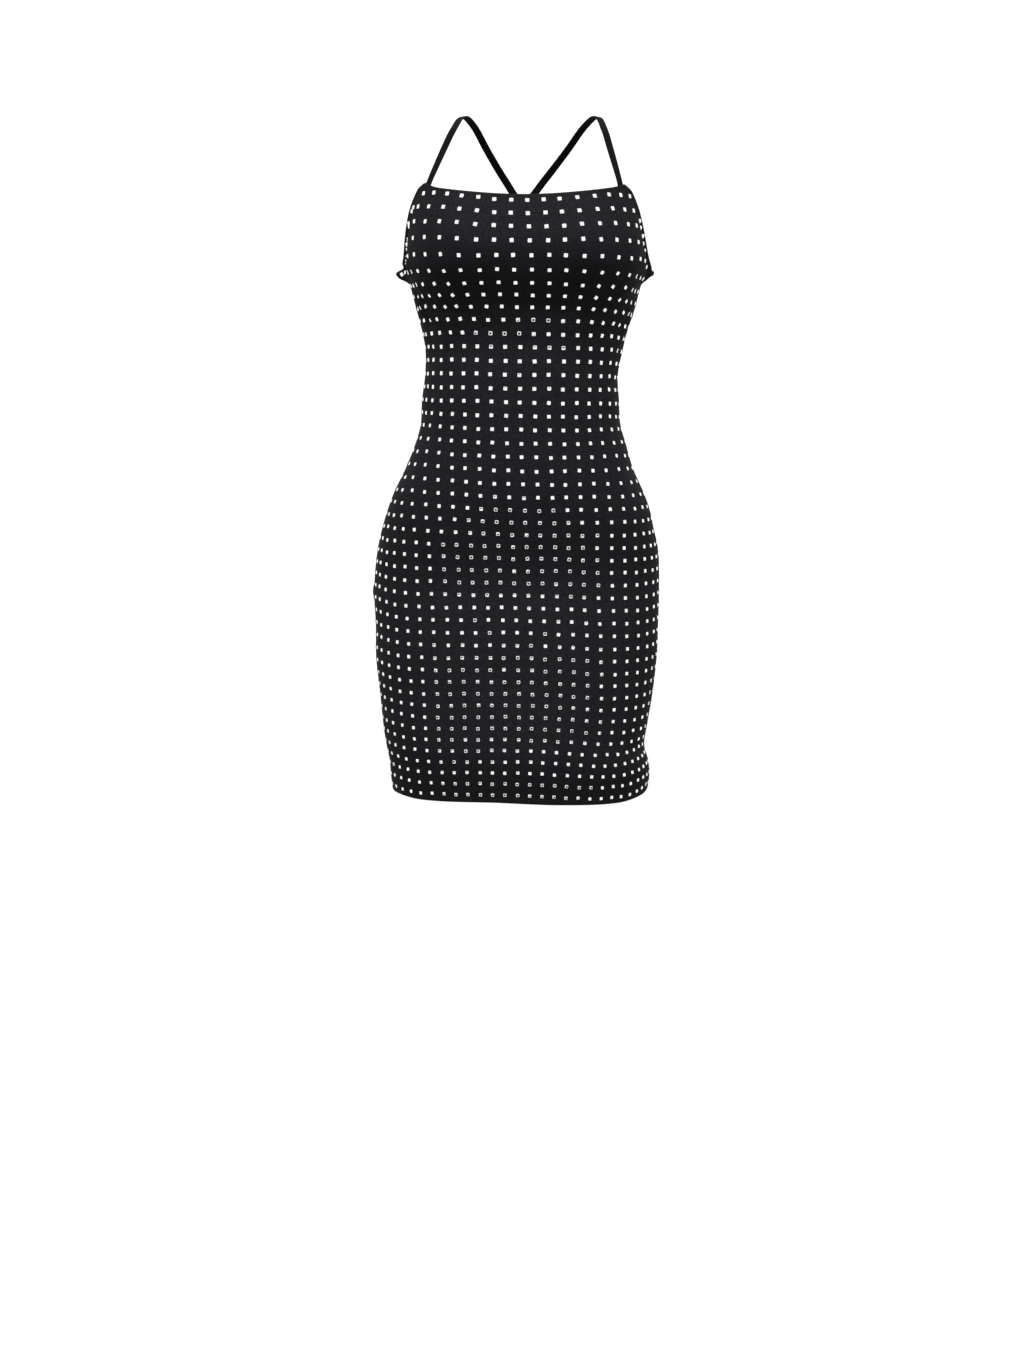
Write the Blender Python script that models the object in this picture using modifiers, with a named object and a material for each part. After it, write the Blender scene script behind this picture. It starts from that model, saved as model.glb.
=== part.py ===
"""Bodycon mini dress in its worn form: front panel, back panel and two crossed shoulder straps.

Metres, +Z up. The front faces -Y, the wearer's right side is -X and the left side is +X.
The origin lies midway between the two strap tops, where the wearer's shoulders carry the dress.
"""

import bisect
import math
from collections import namedtuple

import bpy
from mathutils import Vector

# ---------------------------------------------------------------- driving sizes, metres, degrees
CLOTH_THICKNESS = 0.0012
SEAM_GAP = 0.0003
STRAP_WIDTH = 0.0085
STRAP_THICKNESS = 0.0018
STRAP_INSET = 0.0014          # clear space between a strap's front end and the panel over it
TIP_INSET = 0.0015            # the same at the side corner, whose cloth curves more
STRAP_STATION = 0.009         # spacing of the strap's cross-sections
STRAP_EDGE_CUT = (0.86, 0.45)  # shares of the strap's half sizes where its rounded edges start
CURVE_STEPS = 12              # points read between two of the route's own points

CORNER_TURN = 63.6            # where neckline and armhole meet, turned from the centre front
CORNER_Z = -0.0790
NECK_DIP = 0.0130             # how far the neckline sinks from its corners to the centre
PEAK_TURN = 61.0              # beside the strap the upper edge comes to a small peak
PEAK_Z = -0.0796              # where the fall beyond it would start without the peak
RIGHT_PEAK = 0.0030           # how far the edge rises there, on the wearer's right and left
LEFT_PEAK = 0.0014
PEAK_SPREAD = 4.5             # degrees
PEAK_FALL = 0.00122           # metres for each degree
PEAK_SOFTNESS = 0.0006
MOST_GAP = 40.0               # in softnesses, beyond which the lower line counts alone
TIP_Z = -0.1720               # top of the side seam, under the arm
ARMHOLE_HOLLOW = 1.5          # exponent: more hollows the armhole's upper half
BACK_LOW_Z = -0.2750          # centre of the scooped back edge
BACK_SCOOP = 1.25             # exponent: more keeps the back edge high near the side seams
SEAM_TURN = 90.0              # the side seams
SEAM_RADIUS = 0.110           # least reach of the side seams, to turn their gap into degrees

TIP_REACH = 0.0078            # the strap's end draws the side corner out by this much
TIP_TURN_SPREAD = 9.0
TIP_HEIGHT_SPREAD = 0.0110

CUP_ACROSS = 0.068            # the front stretches over two soft fullnesses
CUP_Z = -0.150
CUP_FULLNESS = 0.0085
CUP_WIDTH = 0.047
CUP_HEIGHT = 0.044
CUP_FADE = 2.5                # how soon the fullness fades towards the side seams

FRONT_SIDE_COLUMNS = 7        # from the side seam to the neckline's peak
FRONT_MIDDLE_COLUMNS = 26     # between the neckline's peaks
BACK_COLUMNS = 32
LOWER_ROWS = 20
UPPER_ROWS = 21
UPPER_SHARE = 0.38            # share of a column's length that the closer upper rows take
BACK_LOWER_ROWS = 20
BACK_UPPER_ROWS = 12

# One row per level, upwards. right and left: reach of the cloth's outer face at the side seams.
# front and back: its depth from the seams. square: exponent of the section, 2 is an ellipse.
Section = namedtuple("Section", "z right left front back square")
SECTIONS = (
    Section(-0.772, 0.1550, 0.1325, 0.0899, 0.0915, 2.3),
    Section(-0.745, 0.1590, 0.1370, 0.0909, 0.0930, 2.3),
    Section(-0.728, 0.1603, 0.1356, 0.0903, 0.0940, 2.3),
    Section(-0.710, 0.1640, 0.1310, 0.0896, 0.0955, 2.3),
    Section(-0.690, 0.1671, 0.1338, 0.0894, 0.0975, 2.3),
    Section(-0.650, 0.1712, 0.1405, 0.0911, 0.1020, 2.3),
    Section(-0.610, 0.1755, 0.1450, 0.0935, 0.1080, 2.3),
    Section(-0.575, 0.1757, 0.1464, 0.0936, 0.1140, 2.3),
    Section(-0.533, 0.1774, 0.1474, 0.0929, 0.1190, 2.3),
    Section(-0.490, 0.1738, 0.1468, 0.0959, 0.1165, 2.3),
    Section(-0.456, 0.1661, 0.1426, 0.0983, 0.1080, 2.3),
    Section(-0.425, 0.1555, 0.1306, 0.1003, 0.0960, 2.2),
    Section(-0.395, 0.1412, 0.1172, 0.0986, 0.0830, 2.2),
    Section(-0.367, 0.1300, 0.1090, 0.0950, 0.0730, 2.2),
    Section(-0.345, 0.1240, 0.1028, 0.0925, 0.0680, 2.2),
    Section(-0.318, 0.1225, 0.1012, 0.0909, 0.0660, 2.2),
    Section(-0.290, 0.1190, 0.0998, 0.0904, 0.0695, 2.2),
    Section(-0.262, 0.1184, 0.1050, 0.0903, 0.0760, 2.2),
    Section(-0.240, 0.1222, 0.1105, 0.0930, 0.0815, 2.2),
    Section(-0.216, 0.1284, 0.1184, 0.0975, 0.0865, 2.3),
    Section(-0.196, 0.1336, 0.1234, 0.1030, 0.0900, 2.4),
    Section(-0.180, 0.1366, 0.1268, 0.1085, 0.0925, 2.5),
    Section(-0.165, 0.1410, 0.1325, 0.1130, 0.0945, 2.5),
    Section(-0.140, 0.1415, 0.1305, 0.1150, 0.0970, 2.5),
    Section(-0.110, 0.1400, 0.1270, 0.1080, 0.0985, 2.5),
    Section(-0.085, 0.1380, 0.1240, 0.0985, 0.0985, 2.5),
    Section(0.000, 0.1320, 0.1320, 0.0800, 0.0820, 2.4),
)

# Height of the hem round the body: it hangs lowest in front, a little to the wearer's left.
HemPoint = namedtuple("HemPoint", "turn z")
HEM = (
    HemPoint(-90.0, -0.7605),
    HemPoint(-76.0, -0.7632),
    HemPoint(-60.0, -0.7668),
    HemPoint(-20.0, -0.7672),
    HemPoint(0.0, -0.7685),
    HemPoint(25.0, -0.7702),
    HemPoint(60.0, -0.7705),
    HemPoint(76.0, -0.7650),
    HemPoint(90.0, -0.7590),
    HemPoint(135.0, -0.7600),
    HemPoint(180.0, -0.7620),
    HemPoint(225.0, -0.7620),
    HemPoint(270.0, -0.7605),
)

# The largest folds run down and forward from under each arm. depth: inwards, a ridge is
# negative. half_width: across the fold.
Fold = namedtuple("Fold", "from_turn from_z to_turn to_z depth half_width")
FOLDS = (
    Fold(-83.0, -0.184, -48.0, -0.226, 0.0022, 0.0085),
    Fold(-84.0, -0.203, -60.0, -0.252, 0.0017, 0.0075),
    Fold(-70.0, -0.184, -42.0, -0.208, -0.0014, 0.0080),
    Fold(84.0, -0.186, 50.0, -0.230, 0.0024, 0.0090),
    Fold(85.0, -0.207, 62.0, -0.258, 0.0018, 0.0075),
    Fold(72.0, -0.186, 44.0, -0.210, -0.0015, 0.0080),
    Fold(97.0, -0.196, 128.0, -0.262, 0.0022, 0.0090),
    Fold(-97.0, -0.194, -126.0, -0.266, 0.0020, 0.0090),
    Fold(-166.0, -0.352, -108.0, -0.372, 0.0022, 0.0110),
    Fold(168.0, -0.366, 112.0, -0.352, 0.0024, 0.0110),
)
ARC_PER_DEGREE = 0.0022       # length of one degree of turn along the cloth, for the folds
FOLD_ROUNDNESS = 0.7          # exponent: less keeps a fold deep nearer to its ends

# The strap's sewn end behind the neckline corner, upwards, for the wearer's left; the other
# strap is its mirror.
StartPoint = namedtuple("StartPoint", "turn z")
STRAP_START = (StartPoint(60.8, -0.0960), StartPoint(59.9, -0.0860), StartPoint(58.8, -0.0745))

# The strap over the shoulder. across: from the mid-line. face_*: the way its outer side looks.
ShoulderPoint = namedtuple("ShoulderPoint", "across y z face_across face_y face_up")
SHOULDER_ROUTE = (
    ShoulderPoint(0.0928, -0.0475, -0.0395, 0.38, -0.80, 0.46),
    ShoulderPoint(0.0843, -0.0330, -0.0165, 0.26, -0.70, 0.66),
    ShoulderPoint(0.0755, 0.0000, 0.0000, 0.20, -0.10, 0.97),
    ShoulderPoint(0.0625, 0.0350, -0.0085, 0.15, 0.45, 0.88),
    ShoulderPoint(0.0445, 0.0660, -0.0350, 0.05, 0.80, 0.60),
)

# The strap on the back, from below the nape across to the other side corner. turn: from the
# centre back, towards the other side. tucked: 1 where it lies behind the back panel.
BackPoint = namedtuple("BackPoint", "turn z tucked")
BACK_ROUTE = (
    BackPoint(-13.5, -0.0655, 0.0),
    BackPoint(0.0, -0.0940, 0.0),
    BackPoint(21.0, -0.1190, 0.0),
    BackPoint(43.0, -0.1425, 0.0),
    BackPoint(62.0, -0.1580, 0.3),
    BackPoint(75.0, -0.1680, 1.0),
    BackPoint(83.0, -0.1745, 1.0),
    BackPoint(88.0, -0.1790, 1.0),
)
CROSSING_LIFT = STRAP_THICKNESS + 2.0 * SEAM_GAP
CROSSING_SPREAD = 0.024       # length over which the outer strap rises over the inner one

SMOOTH_ANGLE = 40.0           # edges sharper than this are shaded as edges
CLOTH_BLACK = (0.016, 0.016, 0.018, 1.0)
STRAP_BLACK = (0.012, 0.012, 0.013, 1.0)


# ---------------------------------------------------------------- reading the tables
def smooth_row(ordered, value):
    """Every column of a table at one value of its first column, eased between the rows."""
    knots = [row[0] for row in ordered]
    last = len(ordered) - 1
    value = min(max(value, knots[0]), knots[last])
    i = min(max(bisect.bisect_right(knots, value) - 1, 0), last - 1)
    before, after = max(i - 1, 0), min(i + 2, last)
    span = knots[i + 1] - knots[i]
    t = (value - knots[i]) / span
    eased = []
    for column in range(len(ordered[0])):
        start, end = ordered[i][column], ordered[i + 1][column]
        slope_in = (end - ordered[before][column]) / (knots[i + 1] - knots[before])
        slope_out = (ordered[after][column] - start) / (knots[after] - knots[i])
        eased.append(
            start * (1 + 2 * t) * (1 - t) ** 2
            + end * t * t * (3 - 2 * t)
            + span * slope_in * t * (1 - t) ** 2
            - span * slope_out * t * t * (1 - t)
        )
    return type(ordered[0])(*eased)


def bump(distance, spread):
    """A soft bell: 1 at no distance, nearly nothing at twice the spread."""
    return math.exp(-((distance / spread) ** 2))


# ---------------------------------------------------------------- the worn surface
def mid_line(z):
    section = smooth_row(SECTIONS, z)
    return (section.left - section.right) / 2


def fold_depth(turn, z):
    """How far the folds press the cloth in at this place."""
    depth = 0.0
    for fold in FOLDS:
        along = ((fold.to_turn - fold.from_turn) * ARC_PER_DEGREE, fold.to_z - fold.from_z)
        here = ((turn - fold.from_turn) * ARC_PER_DEGREE, z - fold.from_z)
        length = math.hypot(*along)
        run = (here[0] * along[0] + here[1] * along[1]) / length
        off = (here[0] * along[1] - here[1] * along[0]) / length
        share = run / length
        if 0.0 < share < 1.0:
            lengthwise = math.sin(math.pi * share) ** FOLD_ROUNDNESS
            depth += fold.depth * bump(off, fold.half_width) * lengthwise
    return depth


def signed_turn(turn):
    """The same place with its turn from -180 to 180."""
    return (turn + 180.0) % 360.0 - 180.0


def worn_point(turn, z):
    """Point of the cloth's inner face: turned from the centre front, positive to +X."""
    turn = signed_turn(turn)
    section = smooth_row(SECTIONS, z)
    half = (section.left + section.right) / 2 - CLOTH_THICKNESS
    to_side, to_front = math.sin(math.radians(turn)), math.cos(math.radians(turn))
    depth = (section.front if to_front > 0 else section.back) - CLOTH_THICKNESS
    power = section.square
    ring = (abs(to_side) / half) ** power + (abs(to_front) / depth) ** power
    reach = ring ** (-1.0 / power)
    off_seam = abs(abs(turn) - SEAM_TURN)
    reach += TIP_REACH * bump(off_seam, TIP_TURN_SPREAD) * bump(z - TIP_Z, TIP_HEIGHT_SPREAD)
    reach -= fold_depth(turn, z)
    across = reach * to_side
    y = -reach * to_front
    if to_front > 0:
        cups = bump(across - CUP_ACROSS, CUP_WIDTH) + bump(across + CUP_ACROSS, CUP_WIDTH)
        y -= CUP_FULLNESS * cups * bump(z - CUP_Z, CUP_HEIGHT) * min(1.0, CUP_FADE * to_front)
    return Vector((mid_line(z) + across, y, z))


def worn_normal(turn, z):
    """Outward direction of the worn surface."""
    step_turn, step_z = 1.0, 0.003
    round_body = worn_point(turn + step_turn, z) - worn_point(turn - step_turn, z)
    upwards = worn_point(turn, z + step_z) - worn_point(turn, z - step_z)
    return round_body.cross(upwards).normalized()


# ---------------------------------------------------------------- the panels' edges
def hem_height(turn):
    turn = signed_turn(turn)
    if turn < HEM[0].turn:
        turn += 360.0
    return smooth_row(HEM, turn).z


def front_top_height(turn):
    """Neckline rising to a small peak beside each strap, then the armhole down to the side."""
    peak = RIGHT_PEAK if turn < 0 else LEFT_PEAK
    turn = abs(turn)
    if turn <= CORNER_TURN:
        height = CORNER_Z - NECK_DIP * (1.0 - (turn / CORNER_TURN) ** 2)
    else:
        share = min((turn - CORNER_TURN) / (SEAM_TURN - CORNER_TURN), 1.0)
        height = CORNER_Z + (TIP_Z - CORNER_Z) * math.sin(math.pi / 2 * share) ** ARMHOLE_HOLLOW
    height += peak * bump(turn - PEAK_TURN, PEAK_SPREAD)
    fall = PEAK_Z + peak - PEAK_FALL * (turn - PEAK_TURN)
    gap = (height - fall) / PEAK_SOFTNESS
    return height - PEAK_SOFTNESS * math.log1p(math.exp(min(gap, MOST_GAP)))


def back_top_height(turn):
    """The scooped edge from one side corner to the other."""
    share = (abs(signed_turn(turn)) - SEAM_TURN) / (180.0 - SEAM_TURN)
    return TIP_Z + (BACK_LOW_Z - TIP_Z) * math.sin(math.pi / 2 * max(share, 0.0)) ** BACK_SCOOP


def spread(start, end, count):
    return [start + (end - start) * i / count for i in range(count + 1)]


def height_shares(lower_rows, upper_rows):
    """Shares of a column's length, closer together towards the top."""
    middle = 1.0 - UPPER_SHARE
    return spread(0.0, middle, lower_rows) + spread(middle, 1.0, upper_rows)[1:]


def half_seam_turn():
    """Half the seam's gap, as a turn at the side seams."""
    return math.degrees(SEAM_GAP / 2 / SEAM_RADIUS)


def front_columns():
    side = SEAM_TURN - half_seam_turn()
    return (
        spread(-side, -PEAK_TURN, FRONT_SIDE_COLUMNS)
        + spread(-PEAK_TURN, PEAK_TURN, FRONT_MIDDLE_COLUMNS)[1:-1]
        + spread(PEAK_TURN, side, FRONT_SIDE_COLUMNS)
    )


def back_columns():
    side = SEAM_TURN + half_seam_turn()
    return spread(side, 360.0 - side, BACK_COLUMNS)


# ---------------------------------------------------------------- making objects
def clear_scene():
    for thing in list(bpy.data.objects):
        bpy.data.objects.remove(thing, do_unlink=True)


def make_material(name, colour, roughness):
    material = bpy.data.materials.new(name)
    material.use_nodes = True
    shader = material.node_tree.nodes["Principled BSDF"]
    shader.inputs["Base Color"].default_value = colour
    shader.inputs["Roughness"].default_value = roughness
    shader.inputs["Metallic"].default_value = 0.0
    return material


def make_object(name, points, faces, material, collection):
    mesh = bpy.data.meshes.new(name)
    mesh.from_pydata([tuple(point) for point in points], [], faces)
    mesh.materials.append(material)
    mesh.shade_smooth()
    mesh.set_sharp_from_angle(angle=math.radians(SMOOTH_ANGLE))
    thing = bpy.data.objects.new(name, mesh)
    collection.objects.link(thing)
    return thing


def make_panel(name, turns, shares, top_height, material, collection):
    """A loft over the worn surface from the hem to an upper edge, thickened outwards."""
    points = []
    for share in shares:
        for turn in turns:
            low, high = hem_height(turn), top_height(turn)
            points.append(worn_point(turn, low + (high - low) * share))
    width = len(turns)
    faces = []
    for row in range(len(shares) - 1):
        for column in range(width - 1):
            corner = row * width + column
            faces.append((corner, corner + 1, corner + width + 1, corner + width))
    panel = make_object(name, points, faces, material, collection)
    wall = panel.modifiers.new("cloth thickness", "SOLIDIFY")
    wall.thickness = CLOTH_THICKNESS
    wall.offset = 1.0
    wall.use_even_offset = True
    return panel


# ---------------------------------------------------------------- the straps
def strap_route(side, outer):
    """Places and outer directions of one strap: side is 1 for the wearer's left, -1 right."""
    route = []
    inset = -(STRAP_INSET + STRAP_THICKNESS / 2)
    for point in STRAP_START:
        normal = worn_normal(side * point.turn, point.z)
        route.append((worn_point(side * point.turn, point.z) + normal * inset, normal))
    for point in SHOULDER_ROUTE:
        place = Vector((mid_line(point.z) + side * point.across, point.y, point.z))
        facing = Vector((side * point.face_across, point.face_y, point.face_up))
        route.append((place, facing.normalized()))
    crossing = worn_point(180.0, BACK_ROUTE[1].z)
    for point in BACK_ROUTE:
        turn = 180.0 + side * point.turn
        normal = worn_normal(turn, point.z)
        place = worn_point(turn, point.z)
        lift = STRAP_THICKNESS / 2 - (STRAP_THICKNESS + TIP_INSET) * point.tucked
        if outer:
            lift += CROSSING_LIFT * bump((place - crossing).length, CROSSING_SPREAD)
        route.append((place + normal * lift, normal))
    return route


def eased_route(route, spacing):
    """The route's points joined by a smooth curve and read at an even spacing."""
    fine = []
    for i in range(len(route) - 1):
        before, after = route[max(i - 1, 0)], route[min(i + 2, len(route) - 1)]
        (p1, n1), (p2, n2) = route[i], route[i + 1]
        for step in range(CURVE_STEPS):
            t = step / CURVE_STEPS
            place = 0.5 * (
                2.0 * p1
                + (p2 - before[0]) * t
                + (2.0 * before[0] - 5.0 * p1 + 4.0 * p2 - after[0]) * t * t
                + (3.0 * p1 - before[0] - 3.0 * p2 + after[0]) * t ** 3
            )
            fine.append((place, n1.lerp(n2, t).normalized()))
    fine.append(route[-1])
    lengths = [0.0]
    for (p1, _), (p2, _) in zip(fine, fine[1:]):
        lengths.append(lengths[-1] + (p2 - p1).length)
    count = round(lengths[-1] / spacing)
    read = []
    for station in spread(0.0, lengths[-1], count):
        i = min(max(bisect.bisect_right(lengths, station) - 1, 0), len(fine) - 2)
        t = (station - lengths[i]) / (lengths[i + 1] - lengths[i])
        read.append((fine[i][0].lerp(fine[i + 1][0], t), fine[i][1].lerp(fine[i + 1][1], t)))
    return read


def strap_section():
    """Half sizes of the flat strap's eight-cornered section: across and outwards."""
    wide, thick = STRAP_WIDTH / 2, STRAP_THICKNESS / 2
    cut_wide, cut_thick = wide * STRAP_EDGE_CUT[0], thick * STRAP_EDGE_CUT[1]
    return (
        (wide, -cut_thick), (wide, cut_thick), (cut_wide, thick), (-cut_wide, thick),
        (-wide, cut_thick), (-wide, -cut_thick), (-cut_wide, -thick), (cut_wide, -thick),
    )


def make_strap(name, side, outer, material, collection):
    stations = eased_route(strap_route(side, outer), STRAP_STATION)
    section = strap_section()
    ring = len(section)
    points = []
    for i, (place, facing) in enumerate(stations):
        ahead = stations[min(i + 1, len(stations) - 1)][0]
        behind = stations[max(i - 1, 0)][0]
        along = (ahead - behind).normalized()
        across = along.cross(facing).normalized()
        outward = across.cross(along)
        points += [place + across * a + outward * o for a, o in section]
    faces = [tuple(range(ring))]
    for i in range(len(stations) - 1):
        for k in range(ring):
            a, b = i * ring + k, i * ring + (k + 1) % ring
            faces.append((a, a + ring, b + ring, b))
    last = (len(stations) - 1) * ring
    faces.append(tuple(last + k for k in reversed(range(ring))))
    return make_object(name, points, faces, material, collection)


# ---------------------------------------------------------------- the dress
def build_dress():
    clear_scene()
    dress = bpy.data.collections.new("bodycon_dress")
    bpy.context.scene.collection.children.link(dress)
    cloth = make_material("black_stretch_knit", CLOTH_BLACK, 0.9)
    strap_cloth = make_material("black_strap_tube", STRAP_BLACK, 0.8)
    front_shares = height_shares(LOWER_ROWS, UPPER_ROWS)
    back_shares = height_shares(BACK_LOWER_ROWS, BACK_UPPER_ROWS)
    make_panel("front", front_columns(), front_shares, front_top_height, cloth, dress)
    make_panel("back", back_columns(), back_shares, back_top_height, cloth, dress)
    make_strap("strap_right", -1, False, strap_cloth, dress)
    make_strap("strap_left", 1, True, strap_cloth, dress)


build_dress()
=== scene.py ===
"""Bodycon mini dress of black stretch knit, set all over with small square metal studs.

Metres, +Z up. The front faces -Y, the wearer's right side is -X. A place on the worn cloth is
named by its turn in degrees from the centre front, positive to +X, and its height z.
"""

import bisect
import functools
import math
import random
from collections import namedtuple

import bpy
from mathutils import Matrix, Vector


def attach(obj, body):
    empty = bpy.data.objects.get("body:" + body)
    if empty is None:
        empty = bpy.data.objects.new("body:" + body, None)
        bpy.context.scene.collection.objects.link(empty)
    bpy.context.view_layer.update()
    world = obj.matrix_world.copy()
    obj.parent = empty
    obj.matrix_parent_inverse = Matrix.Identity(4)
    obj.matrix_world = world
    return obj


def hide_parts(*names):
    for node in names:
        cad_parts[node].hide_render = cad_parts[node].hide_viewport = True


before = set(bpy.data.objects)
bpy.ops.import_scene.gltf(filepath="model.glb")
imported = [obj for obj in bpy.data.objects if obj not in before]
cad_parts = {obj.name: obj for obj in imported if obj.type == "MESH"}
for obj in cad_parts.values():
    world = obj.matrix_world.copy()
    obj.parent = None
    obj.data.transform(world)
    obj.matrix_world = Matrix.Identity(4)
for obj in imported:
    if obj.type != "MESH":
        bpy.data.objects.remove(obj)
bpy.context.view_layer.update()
MILLIMETRES = 1000  # in a metre


def chart(columns, *rows):
    """Rows whose columns are read by name."""
    row = namedtuple("Row", columns)
    return [row(*numbers) for numbers in rows]


# -------- sizes shared with the solids
WALL = 0.0012  # the solids' wall; the cloth's outer side is the wall's outer side
SEAM_GAP = 0.0003
STRAP_WIDTH = 0.0085
STRAP_THICKNESS = 0.0018
STRAP_INSET = 0.0014
TIP_INSET = 0.0015
CURVE_STEPS = 12

CORNER_TURN = 63.6
CORNER_Z = -0.0790
NECK_DIP = 0.0130
PEAK_TURN = 61.0  # beside the strap the upper edge comes to a small peak
PEAK_Z = -0.0796  # where the fall beyond it would start without the peak
RIGHT_PEAK = 0.0030  # how far the edge rises there, on the wearer's right and left
LEFT_PEAK = 0.0014
PEAK_SPREAD = 4.5  # degrees
PEAK_FALL = 0.00122  # metres for each degree
PEAK_SOFTNESS = 0.0006
MOST_GAP = 40.0  # in softnesses, beyond which the lower line counts alone
TIP_Z = -0.1720
ARMHOLE_HOLLOW = 1.5
BACK_LOW_Z = -0.2750
BACK_SCOOP = 1.25
SEAM_TURN = 90.0
SEAM_RADIUS = 0.110

TIP_REACH = 0.0078
TIP_TURN_SPREAD = 9.0
TIP_HEIGHT_SPREAD = 0.0110

CUP_ACROSS = 0.068
CUP_Z = -0.150
CUP_FULLNESS = 0.0085
CUP_WIDTH = 0.047
CUP_HEIGHT = 0.044
CUP_FADE = 2.5

SECTIONS = chart("z right left front back square",
    (-0.772, 0.1550, 0.1325, 0.0899, 0.0915, 2.3),
    (-0.745, 0.1590, 0.1370, 0.0909, 0.0930, 2.3),
    (-0.728, 0.1603, 0.1356, 0.0903, 0.0940, 2.3),
    (-0.710, 0.1640, 0.1310, 0.0896, 0.0955, 2.3),
    (-0.690, 0.1671, 0.1338, 0.0894, 0.0975, 2.3),
    (-0.650, 0.1712, 0.1405, 0.0911, 0.1020, 2.3),
    (-0.610, 0.1755, 0.1450, 0.0935, 0.1080, 2.3),
    (-0.575, 0.1757, 0.1464, 0.0936, 0.1140, 2.3),
    (-0.533, 0.1774, 0.1474, 0.0929, 0.1190, 2.3),
    (-0.490, 0.1738, 0.1468, 0.0959, 0.1165, 2.3),
    (-0.456, 0.1661, 0.1426, 0.0983, 0.1080, 2.3),
    (-0.425, 0.1555, 0.1306, 0.1003, 0.0960, 2.2),
    (-0.395, 0.1412, 0.1172, 0.0986, 0.0830, 2.2),
    (-0.367, 0.1300, 0.1090, 0.0950, 0.0730, 2.2),
    (-0.345, 0.1240, 0.1028, 0.0925, 0.0680, 2.2),
    (-0.318, 0.1225, 0.1012, 0.0909, 0.0660, 2.2),
    (-0.290, 0.1190, 0.0998, 0.0904, 0.0695, 2.2),
    (-0.262, 0.1184, 0.1050, 0.0903, 0.0760, 2.2),
    (-0.240, 0.1222, 0.1105, 0.0930, 0.0815, 2.2),
    (-0.216, 0.1284, 0.1184, 0.0975, 0.0865, 2.3),
    (-0.196, 0.1336, 0.1234, 0.1030, 0.0900, 2.4),
    (-0.180, 0.1366, 0.1268, 0.1085, 0.0925, 2.5),
    (-0.165, 0.1410, 0.1325, 0.1130, 0.0945, 2.5),
    (-0.140, 0.1415, 0.1305, 0.1150, 0.0970, 2.5),
    (-0.110, 0.1400, 0.1270, 0.1080, 0.0985, 2.5),
    (-0.085, 0.1380, 0.1240, 0.0985, 0.0985, 2.5),
    (0.000, 0.1320, 0.1320, 0.0800, 0.0820, 2.4),
)

HEM = chart("turn z",
    (-90, -0.7605), (-76, -0.7632), (-60, -0.7668), (-20, -0.7672),
    (0, -0.7685), (25, -0.7702), (60, -0.7705), (76, -0.7650),
    (90, -0.7590), (135, -0.7600), (180, -0.7620), (225, -0.7620),
    (270, -0.7605),
)

# depth: inwards, a ridge is negative. half_width: across the fold.
FOLD_COLUMNS = "from_turn from_z to_turn to_z depth half_width"
FOLDS = chart(FOLD_COLUMNS,
    (-83, -0.184, -48, -0.226, 0.0022, 0.0085),
    (-84, -0.203, -60, -0.252, 0.0017, 0.0075),
    (-70, -0.184, -42, -0.208, -0.0014, 0.0080),
    (84, -0.186, 50, -0.230, 0.0024, 0.0090),
    (85, -0.207, 62, -0.258, 0.0018, 0.0075),
    (72, -0.186, 44, -0.210, -0.0015, 0.0080),
    (97, -0.196, 128, -0.262, 0.0022, 0.0090),
    (-97, -0.194, -126, -0.266, 0.0020, 0.0090),
    (-166, -0.352, -108, -0.372, 0.0022, 0.0110),
    (168, -0.366, 112, -0.352, 0.0024, 0.0110),
)
ARC_PER_DEGREE = 0.0022  # metres round the body for a degree, along a fold
FOLD_ROUNDNESS = 0.7
FOLD_REACH = 3.0  # in half widths, beyond which a fold isn't felt

STRAP_START = chart("turn z", (60.8, -0.0960), (59.9, -0.0860), (58.8, -0.0745))

SHOULDER_ROUTE = chart("across y z face_across face_y face_up",
    (0.0928, -0.0475, -0.0395, 0.38, -0.80, 0.46),
    (0.0843, -0.0330, -0.0165, 0.26, -0.70, 0.66),
    (0.0755, 0.0000, 0.0000, 0.20, -0.10, 0.97),
    (0.0625, 0.0350, -0.0085, 0.15, 0.45, 0.88),
    (0.0445, 0.0660, -0.0350, 0.05, 0.80, 0.60),
)

BACK_ROUTE = chart("turn z tucked",
    (-13.5, -0.0655, 0.0),
    (0.0, -0.0940, 0.0),
    (21.0, -0.1190, 0.0),
    (43.0, -0.1425, 0.0),
    (62.0, -0.1580, 0.3),
    (75.0, -0.1680, 1.0),
    (83.0, -0.1745, 1.0),
    (88.0, -0.1790, 1.0),
)
CROSSING_LIFT = STRAP_THICKNESS + 2.0 * SEAM_GAP
CROSSING_SPREAD = 0.024

# -------- sizes of the finer cloth
CLOTH = 0.0009  # the knit's own thickness
ROW_END_TURN = 89.985  # the studs' rows are measured from side to side up to here
ALLOWANCE = 0.0085  # cloth turned to the inside at every edge and side seam
ALLOWANCE_STEP = 0.0007  # width of the step at the allowance's raw edge
EDGE_ROLL = 0.00025  # the turned edge swells by this much
EDGE_ROLL_AT = 0.0022
EDGE_ROLL_WIDTH = 0.0016
EDGE_LEAST = 0.02  # keeps the rounded edge from closing to nothing
STITCH_LINE = 0.0052  # the row of stitches and the dip that it makes, from the edge
STITCH_DIP = 0.00022
STITCH_DIP_WIDTH = 0.0011
SEAM_DIP = 0.0004  # the side seams lie this deep
SEAM_DIP_WIDTH = 0.0020
PANEL_COLUMN = 0.0031  # spacing of the mesh round the body
PANEL_ROWS = 190  # rows between the turned edges
PANEL_READINGS = 720  # places round the body from which the columns are spaced
FAR_INSIDE = 1.0  # stands for any distance beyond the turned edges
PANEL_LEVEL_Z = -0.45  # height at which the columns are evenly spaced
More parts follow.
